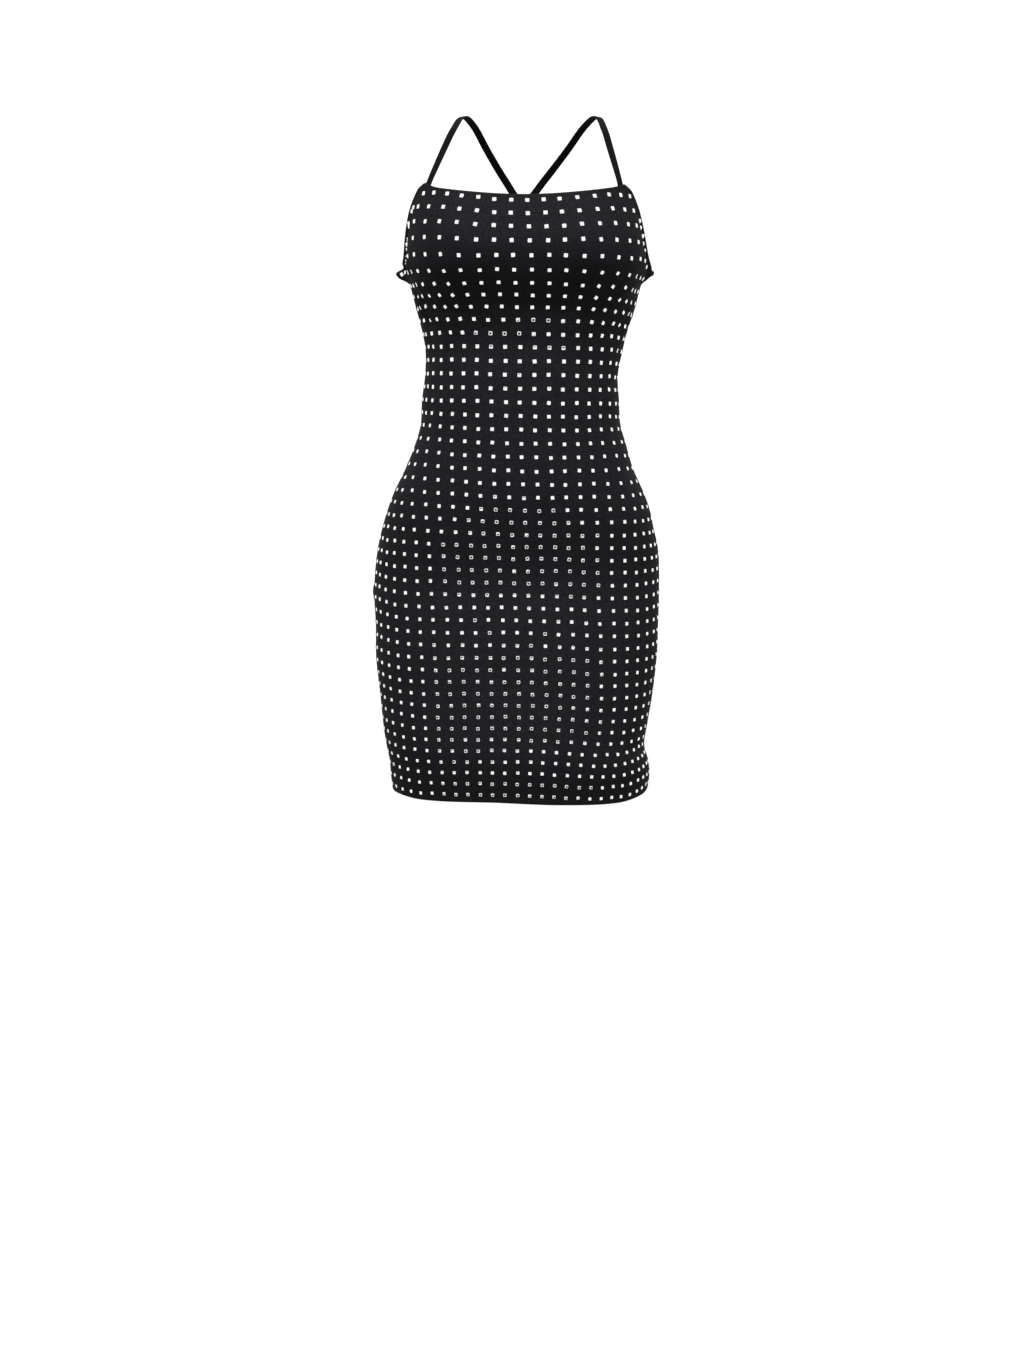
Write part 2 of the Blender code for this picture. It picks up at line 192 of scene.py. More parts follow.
# Distances of the mesh's rows from hem and upper edge, and of its columns from the side seams.
EDGE_STEPS = (
    0.0, 0.00008, 0.0003, 0.0009, 0.0022, 0.0038, 0.0052, 0.0066,
    ALLOWANCE, ALLOWANCE + ALLOWANCE_STEP,
)
SEAM_STEPS = (0.0, 0.0006, 0.0014, 0.0026, 0.0044, 0.0066, ALLOWANCE, ALLOWANCE + ALLOWANCE_STEP)

FLARE = 0.0017  # the armhole's edge stands away from the body
FLARE_WIDTH = 0.0048
FLARE_REACH = 4.0  # in widths from the edge, beyond which neither is felt
FLARE_BEGINS = (CORNER_TURN, CORNER_TURN + 5.0)
FLARE_ENDS = (80.0, 88.0)
VALLEY = 0.0030  # a fold runs along the lower armhole, inside its edge
VALLEY_FROM_EDGE = 0.0068
VALLEY_WIDTH = 0.0036
VALLEY_BEGINS = (68.0, 77.0)  # none at the first turn, full at the second
VALLEY_ENDS = (84.0, 89.0)  # full at the first turn, none at the second
EAR_TURN = 4.5
NOTCH = 0.0046  # the cloth is drawn in above the right side corner
NOTCH_Z = -0.1690
NOTCH_HEIGHT = 0.0030

# The side corners are drawn out into small round ears by the straps' ends; low on the
# wearer's right the seam puckers out a little.
EARS = chart("turn z reach height",
    (-90.0, -0.1782, 0.0080, 0.0047),
    (90.0, -0.1788, 0.0034, 0.0056),
    (90.0, -0.1757, 0.0021, 0.0026),
    (-90.0, -0.5350, 0.0017, 0.0075),
)

# Smaller creases over the folds: how the stretched cloth pulls at the arms, waist, hip and hem.
CREASES = chart(FOLD_COLUMNS,
    (-86, -0.190, -62, -0.216, 0.0017, 0.0046),
    (-82, -0.212, -48, -0.248, 0.0018, 0.0052),
    (-66, -0.198, -36, -0.228, 0.0013, 0.0050),
    (-88, -0.236, -62, -0.272, 0.0012, 0.0052),
    (-62, -0.176, -40, -0.190, 0.0006, 0.0045),
    (87, -0.194, 64, -0.222, 0.0017, 0.0048),
    (82, -0.216, 50, -0.254, 0.0018, 0.0054),
    (66, -0.202, 34, -0.232, 0.0013, 0.0050),
    (88, -0.240, 64, -0.280, 0.0012, 0.0054),
    (60, -0.180, 38, -0.192, 0.0006, 0.0045),
    (-44, -0.238, 30, -0.234, 0.0008, 0.0070),
    (-22, -0.218, 40, -0.218, 0.0024, 0.0120),
    (-86, -0.285, 86, -0.285, -0.0014, 0.0260),
    (-30, -0.167, 34, -0.167, 0.0006, 0.0070),
    (-90, -0.090, -46, -0.090, 0.0012, 0.0130),
    (60, -0.460, 120, -0.460, 0.0032, 0.0200),
    (34, -0.246, -12, -0.252, 0.0005, 0.0050),
    (-88, -0.300, -52, -0.313, 0.0008, 0.0052),
    (-86, -0.334, -60, -0.328, 0.0008, 0.0046),
    (-80, -0.352, -46, -0.366, 0.0006, 0.0050),
    (88, -0.296, 50, -0.310, 0.0009, 0.0054),
    (86, -0.338, 56, -0.330, 0.0007, 0.0046),
    (82, -0.356, 44, -0.372, 0.0006, 0.0050),
    (-86, -0.446, -50, -0.478, 0.0007, 0.0060),
    (86, -0.440, 54, -0.474, 0.0007, 0.0060),
    (-34, -0.556, -10, -0.600, 0.0007, 0.0062),
    (32, -0.560, 8, -0.604, 0.0006, 0.0060),
    (-20, -0.612, 22, -0.616, 0.0006, 0.0070),
    (-84, -0.690, -52, -0.706, 0.0007, 0.0056),
    (86, -0.706, 60, -0.716, 0.0012, 0.0060),
    (84, -0.730, 56, -0.742, -0.0008, 0.0060),
    (52, -0.756, 58, -0.700, 0.0006, 0.0070),
    (-56, -0.752, -62, -0.700, 0.0006, 0.0070),
    (100, -0.214, 122, -0.246, 0.0009, 0.0048),
    (96, -0.244, 116, -0.288, 0.0008, 0.0050),
    (-100, -0.212, -120, -0.250, 0.0009, 0.0048),
    (-95, -0.246, -118, -0.292, 0.0008, 0.0052),
    (176, -0.318, 126, -0.306, 0.0011, 0.0060),
    (-174, -0.330, -130, -0.318, 0.0010, 0.0058),
    (172, -0.346, 140, -0.338, 0.0009, 0.0050),
    (-160, -0.386, -118, -0.402, 0.0009, 0.0070),
    (158, -0.392, 116, -0.384, 0.0009, 0.0070),
    (-112, -0.560, -156, -0.584, 0.0011, 0.0075),
    (114, -0.566, 154, -0.582, 0.0012, 0.0075),
    (-150, -0.622, -106, -0.640, 0.0008, 0.0070),
    (148, -0.628, 104, -0.644, 0.0008, 0.0070),
    (-96, -0.704, -128, -0.716, 0.0009, 0.0060),
    (96, -0.710, 126, -0.720, 0.0010, 0.0060),
)

# Painted light and shade on the knit's colour, by height at the front: paler at the waist and
# thighs where more light falls, darker under the bust and near the hem where it is shaded.
PAINTED_LIGHT_BY_HEIGHT = chart("z pale",
    (-0.770, 0.75), (-0.737, 0.80), (-0.700, 1.28), (-0.657, 1.42),
    (-0.583, 1.32), (-0.532, 1.36), (-0.500, 1.00), (-0.470, 0.90),
    (-0.420, 0.96), (-0.390, 1.00), (-0.338, 1.02), (-0.287, 1.19),
    (-0.238, 0.86), (-0.193, 0.68), (-0.160, 0.95), (-0.130, 1.00),
    (-0.080, 1.00),
)

# -------- the studs
# Half the side of a stud's square base as it shows: tight cloth closes over its rim.
STUD_SIZE = chart("z half",
    (-0.760, 0.00175), (-0.720, 0.00179), (-0.640, 0.00187), (-0.560, 0.00193),
    (-0.430, 0.00198), (-0.360, 0.00205), (-0.280, 0.00218), (-0.240, 0.00213),
    (-0.208, 0.00204), (-0.180, 0.00207), (-0.155, 0.00226), (-0.130, 0.00231),
)
STUD_CORNER = 0.22  # share of the half side that the rounded corner takes
STRAIGHT = 1.0 - STUD_CORNER  # share of it up to the corner
STUD_CORNERS = (
    (STRAIGHT, 1.0), (-STRAIGHT, 1.0), (-1.0, STRAIGHT), (-1.0, -STRAIGHT),
    (-STRAIGHT, -1.0), (STRAIGHT, -1.0), (1.0, -STRAIGHT), (1.0, STRAIGHT),
)
# One row per ring of a stud, upwards. half: share of the half side. height: above the cloth.
# polish: 1 where the face is polished, 0 on the satin slopes.
STUD_RINGS = chart("half height polish",
    (0.98, -0.00005, 0.0),
    (1.00, 0.00020, 0.0),
    (0.97, 0.00034, 0.0),
    (0.66, 0.00079, 0.0),
    (0.63, 0.00082, 1.0),
    (0.56, 0.00081, 1.0),
)
STUD_TOP = max(ring.height for ring in STUD_RINGS)
STUD_SHARP = 18.0  # degrees between faces, from which an edge is crisp
STUD_SPIN = 7.0  # how far a stud is turned and tilted in its place, degrees
STUD_TILT = 1.8
STUD_SPREAD = 0.5  # the usual share of them
STUD_SHIFT = 0.0005  # most that a stud sits off its place
STUD_FROM_EDGE = 0.0022
STUD_BURIED = 0.0006  # most that a stud's edge lies under the cloth round it
STUD_FROM_HEM = 0.0044
STUD_FROM_SEAM = 0.0032
FIRST_ROW_Z = -0.0993  # height of the top row at the centre front
ROW_COUNT = 48
ROW_READING = 1.5  # degrees between the places where a row is measured
BESIDE = 1.0  # degrees to the places beside a stud that set its row's direction
BACK_COLUMN = 0.0154  # spacing of the columns on the back, wider over the hip
BACK_HIP_PULL = 0.08
BACK_HIP_Z = -0.50
BACK_HIP_HEIGHT = 0.10
BACK_LEVELLING = 0.8  # share of the sides' rise that is gone at the centre back
STUD_SEED = 26

# Studs caught in the turned edges of the armholes, between the rows. side: 1 is the wearer's
# left. inset: from the edge.
RIM_FIRST_TURN = CORNER_TURN + 1.0
HALVINGS = 24
RIM_STUDS = chart("side z inset",
    (1, -0.1180, 0.0052), (1, -0.1352, 0.0040), (1, -0.1500, 0.0050),
    (1, -0.1684, 0.0146), (-1, -0.1036, 0.0082), (-1, -0.1084, 0.0072),
    (-1, -0.1244, 0.0058), (-1, -0.1436, 0.0046), (-1, -0.1492, 0.0050),
    (-1, -0.1620, 0.0066), (-1, -0.1660, 0.0075), (-1, -0.1764, 0.0066),
)

# Spacing of the rows down the centre front.
ROW_PITCH = chart("z pitch",
    (-0.760, 0.01255), (-0.710, 0.01240), (-0.680, 0.01290), (-0.640, 0.01330),
    (-0.590, 0.01390), (-0.520, 0.01380), (-0.480, 0.01320), (-0.440, 0.01390),
    (-0.400, 0.01500), (-0.330, 0.01520), (-0.290, 0.01510), (-0.250, 0.01530),
    (-0.222, 0.01420), (-0.203, 0.01320), (-0.188, 0.01340), (-0.165, 0.01570),
    (-0.145, 0.01580), (-0.125, 0.01450), (-0.100, 0.01420),
)

# How far to the wearer's left of the centre front the first column stands.
COLUMN_START = chart("z across",
    (-0.760, 0.0238), (-0.734, 0.0252), (-0.709, 0.0314), (-0.696, 0.0331),
    (-0.640, 0.0331), (-0.590, 0.0316), (-0.520, 0.0281), (-0.453, 0.0224),
    (-0.395, 0.0192), (-0.365, 0.0166), (-0.320, 0.0152), (-0.290, 0.0137),
    (-0.244, 0.0097), (-0.215, 0.0076), (-0.188, 0.0070), (-0.159, 0.0053),
    (-0.100, 0.0035),
)

# How far a row rises away from its height at the centre front, in millimetres, at turns from
# the wearer's right (r) to the left (l).
ROW_RISE = chart("z r90 r80 r65 r50 r35 r20 mid l20 l35 l50 l65 l80 l90",
    (-0.760, 6.5, 4.7, 0.6, 0.0, 0.2, 0.6, 0, -1.8, -3.9, -5.0, -3.6, 6.0, 8.0),
    (-0.733, 6.0, 4.4, 0.1, -0.9, 0.1, 0.5, 0, -1.5, -3.4, -5.7, -3.9, 3.7, 7.0),
    (-0.718, 6.5, 4.7, -0.2, -1.2, -0.2, 0.3, 0, -1.2, -3.2, -5.9, -5.4, 1.6, 5.5),
    (-0.690, 7.5, 5.1, -0.1, -1.5, -0.2, 0.3, 0, -1.1, -3.0, -6.2, -6.9, -3.3, 0.0),
    (-0.620, 7.5, 5.4, 0.0, -1.0, -0.3, 0.1, 0, -1.4, -2.9, -5.8, -6.2, -2.8, 0.5),
    (-0.548, 9.5, 7.3, 1.2, 0.2, 0.3, 0.5, 0, -1.1, -2.2, -4.2, -4.9, -1.9, 1.5),
    (-0.507, 8.5, 6.7, 3.1, 2.1, 1.3, 0.9, 0, -0.4, -1.1, -3.2, -3.3, -0.8, 2.0),
    (-0.480, 8.0, 6.4, 4.4, 2.8, 2.1, 1.2, 0, -0.4, -1.2, -1.8, -2.3, -0.2, 2.5),
    (-0.453, 8.5, 7.4, 6.0, 4.7, 3.0, 1.3, 0, -0.1, -0.2, -0.3, 0.0, 1.5, 3.0),
    (-0.425, 7.5, 6.8, 6.6, 5.1, 3.4, 1.8, 0, -0.2, 0.2, 0.3, 0.5, 1.4, 2.0),
    (-0.365, 5.2, 5.1, 4.8, 3.1, 2.0, 0.7, 0, -0.7, -0.7, -0.3, 0.2, 0.2, 0.5),
    (-0.320, 3.0, 2.9, 2.4, 1.8, 1.4, 0.8, 0, -0.7, -1.1, -1.0, -1.3, -1.8, -2.0),
    (-0.275, 1.2, 1.5, 1.6, 2.0, 1.7, 0.8, 0, 0.0, -0.4, -0.9, -1.6, -2.7, -3.2),
    (-0.244, 0.6, 0.9, 1.0, 1.5, 1.5, 0.5, 0, -0.9, -1.3, -1.9, -3.1, -4.8, -5.5),
    (-0.215, 0.0, 0.4, 1.5, 1.4, 1.1, 0.5, 0, -0.7, -1.3, -2.6, -4.7, -6.6, -7.5),
    (-0.188, -0.8, -0.5, -0.2, -0.5, -0.4, 0.1, 0, -0.9, -2.6, -3.4, -5.2, -7.5, -8.5),
    (-0.170, 0.2, 0.4, 0.6, 0.0, -0.3, 0.3, 0, -0.4, -1.6, -2.9, -4.3, -6.0, -7.0),
    (-0.157, 1.8, 2.0, 2.8, 2.3, 0.7, 0.1, 0, -0.1, -0.5, -0.8, -1.8, -4.0, -5.0),
    (-0.143, 3.0, 3.4, 5.0, 4.4, 2.4, 0.2, 0, 0.3, 1.4, 1.8, 0.9, -1.5, -3.0),
    (-0.128, 5.0, 5.6, 7.7, 6.9, 4.0, 1.0, 0, 0.5, 3.0, 4.4, 3.2, 0.5, -1.0),
    (-0.113, 8.0, 8.5, 10.3, 8.7, 4.8, 1.4, 0, 1.3, 4.0, 6.5, 5.3, 1.0, 0.0),
    (-0.099, 9.0, 9.5, 10.4, 9.4, 5.4, 1.8, 0, 1.4, 4.0, 7.4, 7.1, 4.0, 3.0),
)
RISE_TURNS = (-90, -80, -65, -50, -35, -20, 0, 20, 35, 50, 65, 80, 90)

# Spacing of the columns across a row, in millimetres, at the same kind of turns.
COLUMN_PITCH = chart("z r76 r61 r48 r35 r19 mid l19 l35 l48 l61 l76",
    (-0.760, 14.5, 14.6, 14.3, 13.8, 13.9, 13.5, 13.7, 13.9, 13.3, 12.8, 11.0),
    (-0.721, 14.1, 15.2, 15.1, 14.7, 14.3, 14.1, 14.0, 14.5, 14.5, 12.9, 10.8),
    (-0.696, 14.7, 15.7, 15.7, 14.8, 15.0, 14.7, 14.8, 15.2, 16.2, 15.3, 14.2),
    (-0.618, 14.3, 15.8, 15.9, 15.8, 15.2, 15.3, 15.6, 15.7, 16.5, 15.8, 14.0),
    (-0.548, 13.6, 15.9, 16.4, 15.6, 15.4, 15.4, 15.7, 15.4, 16.7, 16.4, 14.7),
    (-0.480, 13.0, 15.9, 16.7, 15.6, 15.6, 15.6, 15.5, 15.8, 17.1, 15.8, 12.9),
    (-0.453, 15.0, 18.0, 16.8, 16.2, 15.8, 15.9, 15.8, 16.0, 17.6, 17.3, 15.0),
    (-0.410, 19.0, 20.7, 17.9, 16.2, 15.9, 16.0, 15.8, 16.2, 18.0, 20.8, 19.0),
    (-0.365, 18.0, 20.2, 17.6, 15.9, 16.0, 16.0, 15.7, 16.1, 16.9, 20.0, 18.5),
    (-0.336, 15.5, 16.6, 16.3, 15.5, 16.0, 15.9, 15.9, 15.6, 16.6, 17.9, 16.5),
    (-0.305, 14.5, 15.0, 15.7, 15.8, 16.0, 15.8, 16.1, 16.4, 16.4, 16.8, 15.5),
    (-0.244, 14.5, 16.4, 16.3, 16.2, 16.0, 16.1, 16.4, 16.5, 16.1, 16.2, 15.0),
    (-0.215, 14.5, 17.0, 16.4, 17.4, 17.1, 17.2, 17.4, 17.2, 16.7, 16.4, 15.0),
    (-0.195, 15.0, 18.6, 18.0, 19.0, 18.2, 18.3, 18.3, 18.6, 18.6, 18.2, 15.5),
    (-0.172, 16.0, 21.0, 22.6, 21.6, 19.0, 19.5, 18.9, 21.4, 22.4, 20.0, 16.0),
    (-0.150, 17.0, 24.0, 24.2, 22.4, 19.1, 20.0, 18.9, 21.3, 22.5, 20.5, 16.0),
    (-0.128, 16.0, 22.0, 22.6, 21.8, 19.4, 19.8, 19.1, 21.1, 21.8, 19.0, 16.0),
    (-0.099, 15.0, 17.0, 17.8, 19.1, 17.9, 18.0, 18.0, 20.6, 18.1, 16.5, 15.0),
)
PITCH_TURNS = (-76, -61, -48, -35, -19, 0, 19, 35, 48, 61, 76)
STUD_LEAN = 35.0  # the pull under the arms leans the studs there, degrees
LEAN_Z = -0.2030
LEAN_HEIGHT = 0.0320
LEAN_FROM_TURN = 26.0
LEAN_FULL_TURN = 50.0

# -------- stitches and straps
STITCH_LENGTH = 0.0024
STITCH_SPACING = 0.0032
STITCH_RADIUS = 0.00014
STITCH_SIDES = 6
STITCH_READING = 0.25  # degrees
STITCH_SUNK = 0.6  # share of the dip under the row of stitches
STITCH_FROM_CORNER = 2.0  # degrees
STITCH_END_TURN = ROW_END_TURN - 0.4
# Rings of one stitch: share of its length, and radius and height in thread radii.
STITCH_RINGS = chart("share radius lift",
    (0.0, 0.35, -0.6), (0.12, 0.85, 0.1), (0.5, 1.0, 0.45), (0.88, 0.85, 0.1), (1.0, 0.35, -0.6),
)
STRAP_STATION = 0.0022
STRAP_SIDES = 20
STRAP_SQUARENESS = 3.2
STRAP_HOLLOW = 0.22  # share of the thickness, along the middle
STRAP_HOLLOW_WIDTH = 0.30  # share of the strap's width
STRAP_SEAM = 0.22  # the seam on the inner side, in the same shares
STRAP_SEAM_WIDTH = 0.06
STRAP_SHARP = 50.0
INNER_MAP_SHIFT = 0.02  # the inner side's place on the cloth map
TACK_STATION = 2  # stations from a strap's end to the stitches that hold it
TACK_COUNT = 9
TACK_SHARE = 0.76  # of the strap's width

# -------- the studio
CAMERA_PLACE = (-0.0203, -3.76, -0.3107)
CAMERA_PITCH = 85.0
FOCAL_PIXELS = 3300
PICTURE_HEIGHT = 1365  # pixels
SENSOR = 36.0  # millimetres
CAMERA_LENS = FOCAL_PIXELS / PICTURE_HEIGHT * SENSOR
FLOOR_Z = -1.33
FLOOR_RADIUS = 3.4
FLOOR_SIDES = 96
FLOOR_FADE = 0.45  # share of the radius where the floor begins to fade
LIGHT_AIM = (0.0, 0.0, -0.35)
LIGHTS = chart("name place size power",
    ("key_light", (-0.6, -1.8, 2.1), (1.8, 1.2), 90.0),
    ("fill_light", (2.0, -2.0, 1.2), (1.2, 1.6), 26.0),
    ("back_light", (0.4, 2.0, 1.9), (2.0, 1.4), 70.0),
)
# The studs reflect a dim patch of the room: its half sizes and how far it lies below level, as
# parts of the direction's length, its shape and its soft rim.
DIM_HALF_WIDTH = 0.70
DIM_HALF_HEIGHT = 0.081
DIM_BELOW = 0.178
DIM_ROUNDNESS = 4.0
DIM_SOFT = (0.75, 1.3)
ROOM_BRIGHT = 1.14
ROOM_DIMMED = 1.13  # how much darker the patch is
# The room's light on the cloth, from low to high.
ROOM_LEVELS = (-0.4, 0.8)
ROOM_LIGHT = (0.07, 0.64)

# -------- finishes
# The darkest and the palest colour of each.
BODY_SHADES = (0.0058, 0.0058, 0.0066, 1), (0.0210, 0.0211, 0.0237, 1)
STRAP_SHADES = (0.0030, 0.0030, 0.0029, 1), (0.0090, 0.0090, 0.0086, 1)
THREAD_SHADES = (0.006, 0.006, 0.007, 1), (0.016, 0.016, 0.018, 1)
SILVER_SHADES = (0.62, 0.62, 0.63, 1), (0.97, 0.97, 0.98, 1)
BODY_LOOP = 0.0011  # width of a knitted loop
STRAP_LOOP = 0.0008
LOOP_SHAPE = 0.8  # its height for its width
LOOP_SLANT = 1.3  # how steeply its two legs rise to the middle
LOOP_WAVE = 0.3  # how far the gaps between rows of loops sink
# Shares of the knit's change from dark to pale.
LOOP_SHARE, GRAIN_SHARE, CLOUD_SHARE = 0.25, 0.60, 0.15
NOISE_RANGE = (0.3, 0.7)  # where most of a noise lies
SATIN, POLISHED = 0.46, 0.04  # roughness of a stud's slopes and of its top
STUD_VARIES = 0.03  # how much rougher parts of a stud are, and some studs than others
RAISED_FROM = 0.4  # share of a stud's height from which it is at its brightest
TONE_SHARE = 0.3  # of a stud's brightness differs from stud to stud; the rest is height


# ======== reading charts and lines
Knot = namedtuple("Knot", "place value")


def find_step(marks, at):
    """Which step of a rising list holds a value, and how far through that step it is."""
    i = min(max(bisect.bisect_right(marks, at) - 1, 0), len(marks) - 2)
    return i, (at - marks[i]) / (marks[i + 1] - marks[i])


def smooth_row(ordered, value):
    """Every column of a chart at one value of its first column, eased between the rows."""
    knots = [row[0] for row in ordered]
    last = len(ordered) - 1
    i, t = find_step(knots, min(max(value, knots[0]), knots[last]))
    before, after = max(i - 1, 0), min(i + 2, last)
    step = knots[i + 1] - knots[i]
    eased = []
    for column in range(len(ordered[0])):
        start, end = ordered[i][column], ordered[i + 1][column]
        slope_in = (end - ordered[before][column]) / (knots[i + 1] - knots[before])
        slope_out = (ordered[after][column] - start) / (knots[after] - knots[i])
        eased.append(
            start * (1 + 2 * t) * (1 - t) ** 2
            + end * t * t * (3 - 2 * t)
            + step * slope_in * t * (1 - t) ** 2
            - step * slope_out * t * t * (1 - t)
        )
    return type(ordered[0])(*eased)


def smooth_between(values, places, at):
    """A value charted at a few places, eased between them."""
    return smooth_row([Knot(*knot) for knot in zip(places, values)], at).value


def bump(distance, spread):
    return math.exp(-((distance / spread) ** 2))


def ease(value, low, high):
    t = min(max((value - low) / (high - low), 0.0), 1.0)
    return t * t * (3.0 - 2.0 * t)


def even_turns(start, end, count):
    return [start + (end - start) * i / count for i in range(count + 1)]


def run_lengths(places):
    """Length along a line of places, at each of them."""
    lengths = [0.0]
    for a, b in zip(places, places[1:]):
        lengths.append(lengths[-1] + (b - a).length)
    return lengths


def signed_turn(turn):
    return (turn + 180.0) % 360.0 - 180.0


# ======== the worn surface
def mid_line(z):
    section = smooth_row(SECTIONS, z)
    return (section.left - section.right) / 2


def relief(folds, turn, z):
    """How far these folds press the cloth in at this place."""
    depth = 0.0
    for fold in folds:
        along_turn = (fold.to_turn - fold.from_turn) * ARC_PER_DEGREE
        along_z = fold.to_z - fold.from_z
        here_turn, here_z = (turn - fold.from_turn) * ARC_PER_DEGREE, z - fold.from_z
        length = math.hypot(along_turn, along_z)
        share = (here_turn * along_turn + here_z * along_z) / length / length
        if 0.0 < share < 1.0:
            off = (here_turn * along_z - here_z * along_turn) / length
            if abs(off) < FOLD_REACH * fold.half_width:
                lengthwise = math.sin(math.pi * share) ** FOLD_ROUNDNESS
                depth += fold.depth * bump(off, fold.half_width) * lengthwise
    return depth


def worn_point(turn, z, fine=False):
    """Point of the solid's inner face, and with fine=True of the same face with its creases."""
    turn = signed_turn(turn)
    section = smooth_row(SECTIONS, z)
    half = (section.left + section.right) / 2 - WALL
    to_side, to_front = math.sin(math.radians(turn)), math.cos(math.radians(turn))
    depth = (section.front if to_front > 0 else section.back) - WALL
    power = section.square
    ring = (abs(to_side) / half) ** power + (abs(to_front) / depth) ** power
    reach = ring ** (-1.0 / power)
    off_seam = abs(abs(turn) - SEAM_TURN)
    reach += TIP_REACH * bump(off_seam, TIP_TURN_SPREAD) * bump(z - TIP_Z, TIP_HEIGHT_SPREAD)
    reach -= relief(FOLDS, turn, z)
    if fine:
        reach -= relief(CREASES, turn, z)
        reach += edge_flare(turn, z)
        for ear in EARS:
            full = math.exp(-(((z - ear.z) / ear.height) ** 4))
            reach += ear.reach * full * bump(turn - ear.turn, EAR_TURN)
        if turn < 0:
            reach -= NOTCH * bump(z - NOTCH_Z, NOTCH_HEIGHT) * bump(off_seam, TIP_TURN_SPREAD)
    across = reach * to_side
    y = -reach * to_front
    if to_front > 0:
        cups = bump(across - CUP_ACROSS, CUP_WIDTH) + bump(across + CUP_ACROSS, CUP_WIDTH)
        y -= CUP_FULLNESS * cups * bump(z - CUP_Z, CUP_HEIGHT) * min(1.0, CUP_FADE * to_front)
    return Vector(((section.left - section.right) / 2 + across, y, z))


def worn_normal(turn, z, fine=False):
    step_turn, step_z = 1.0, 0.003
    round_body = worn_point(turn + step_turn, z, fine) - worn_point(turn - step_turn, z, fine)
    upwards = worn_point(turn, z + step_z, fine) - worn_point(turn, z - step_z, fine)
    return round_body.cross(upwards).normalized()


def hem_height(turn):
    turn = signed_turn(turn)
    if turn < HEM[0].turn:
        turn += 360.0
    return smooth_row(HEM, turn).z


def front_top_height(turn):
    """Neckline rising to a small peak beside each strap, then the armhole down to the side."""
    peak = RIGHT_PEAK if turn < 0 else LEFT_PEAK
    turn = abs(turn)
    if turn <= CORNER_TURN:
        height = CORNER_Z - NECK_DIP * (1.0 - (turn / CORNER_TURN) ** 2)
    else:
        share = min((turn - CORNER_TURN) / (SEAM_TURN - CORNER_TURN), 1.0)
        height = CORNER_Z + (TIP_Z - CORNER_Z) * math.sin(math.pi / 2 * share) ** ARMHOLE_HOLLOW
    height += peak * bump(turn - PEAK_TURN, PEAK_SPREAD)
    fall = PEAK_Z + peak - PEAK_FALL * (turn - PEAK_TURN)
    gap = (height - fall) / PEAK_SOFTNESS
    return height - PEAK_SOFTNESS * math.log1p(math.exp(min(gap, MOST_GAP)))


def back_top_height(turn):
    """The scooped edge from one side corner to the other."""
    share = (abs(signed_turn(turn)) - SEAM_TURN) / (180.0 - SEAM_TURN)
    return TIP_Z + (BACK_LOW_Z - TIP_Z) * math.sin(math.pi / 2 * max(share, 0.0)) ** BACK_SCOOP


def edge_steepness(height, turn):
    """How much longer a step down is than its distance from a sloping edge."""
    step = 0.4
    low = worn_point(turn - step, height(turn - step))
    high = worn_point(turn + step, height(turn + step))
    level = math.hypot(high.x - low.x, high.y - low.y)
    return math.hypot(1.0, (high.z - low.z) / level)


@functools.cache
def armhole_steepness(turn):
    return edge_steepness(front_top_height, turn)


def from_armhole(turn, z):
    """How far inside the armhole's edge a place lies."""
    return (front_top_height(turn) - z) / armhole_steepness(round(abs(turn), 1))


def edge_flare(turn, z):
    """How far the armhole's edge stands out here, and the fold inside it lies in."""
    turn = abs(turn)
    if not CORNER_TURN < turn < SEAM_TURN:
        return 0.0
    from_edge = from_armhole(turn, z)
    if from_edge > FLARE_REACH * FLARE_WIDTH:
        return 0.0
    along = ease(turn, *FLARE_BEGINS) * (1.0 - ease(turn, *FLARE_ENDS))
    flare = FLARE * along * bump(max(from_edge, 0.0), FLARE_WIDTH)
    folded = ease(turn, *VALLEY_BEGINS) * (1.0 - ease(turn, *VALLEY_ENDS))
    return flare - VALLEY * folded * bump(from_edge - VALLEY_FROM_EDGE, VALLEY_WIDTH)


# ======== making pieces
def put_in_scene(name, data):
    thing = bpy.data.objects.new(name, data)
    bpy.context.scene.collection.objects.link(thing)
    return thing


def make_piece(name, points, faces, material, uv=None, tones=None, sharp=None):
    mesh = bpy.data.meshes.new(name)
    mesh.from_pydata([tuple(point) for point in points], [], faces)
    mesh.materials.append(material)
    mesh.shade_smooth()
    if sharp:
        mesh.set_sharp_from_angle(angle=math.radians(sharp))
    if uv:
        layer = mesh.uv_layers.new(name="cloth_metres")
        for loop in mesh.loops:
            layer.data[loop.index].uv = uv[loop.vertex_index]
    for label, values in (tones or {}).items():
        attribute = mesh.attributes.new(label, "FLOAT", "POINT")
        attribute.data.foreach_set("value", values)
    piece = put_in_scene(name, mesh)
    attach(piece, "root")
    return piece


def ring_faces(first, rings, sides, clockwise=False):
    """Faces of a closed piece made of rings of points.

    clockwise says which way a ring runs round, seen from the last ring's end."""
    last = first + (rings - 1) * sides
    ends = [tuple(reversed(range(first, first + sides))), tuple(range(last, last + sides))]
    quads = []
    for start in range(first, last, sides):
        for k in range(sides):
            a, b = start + k, start + (k + 1) % sides
            quads.append((a, b, b + sides, a + sides))
    if clockwise:
        ends = [tuple(reversed(end)) for end in ends]
        quads = [(a, d, c, b) for a, b, c, d in quads]
    return [ends[0]] + quads + [ends[1]]


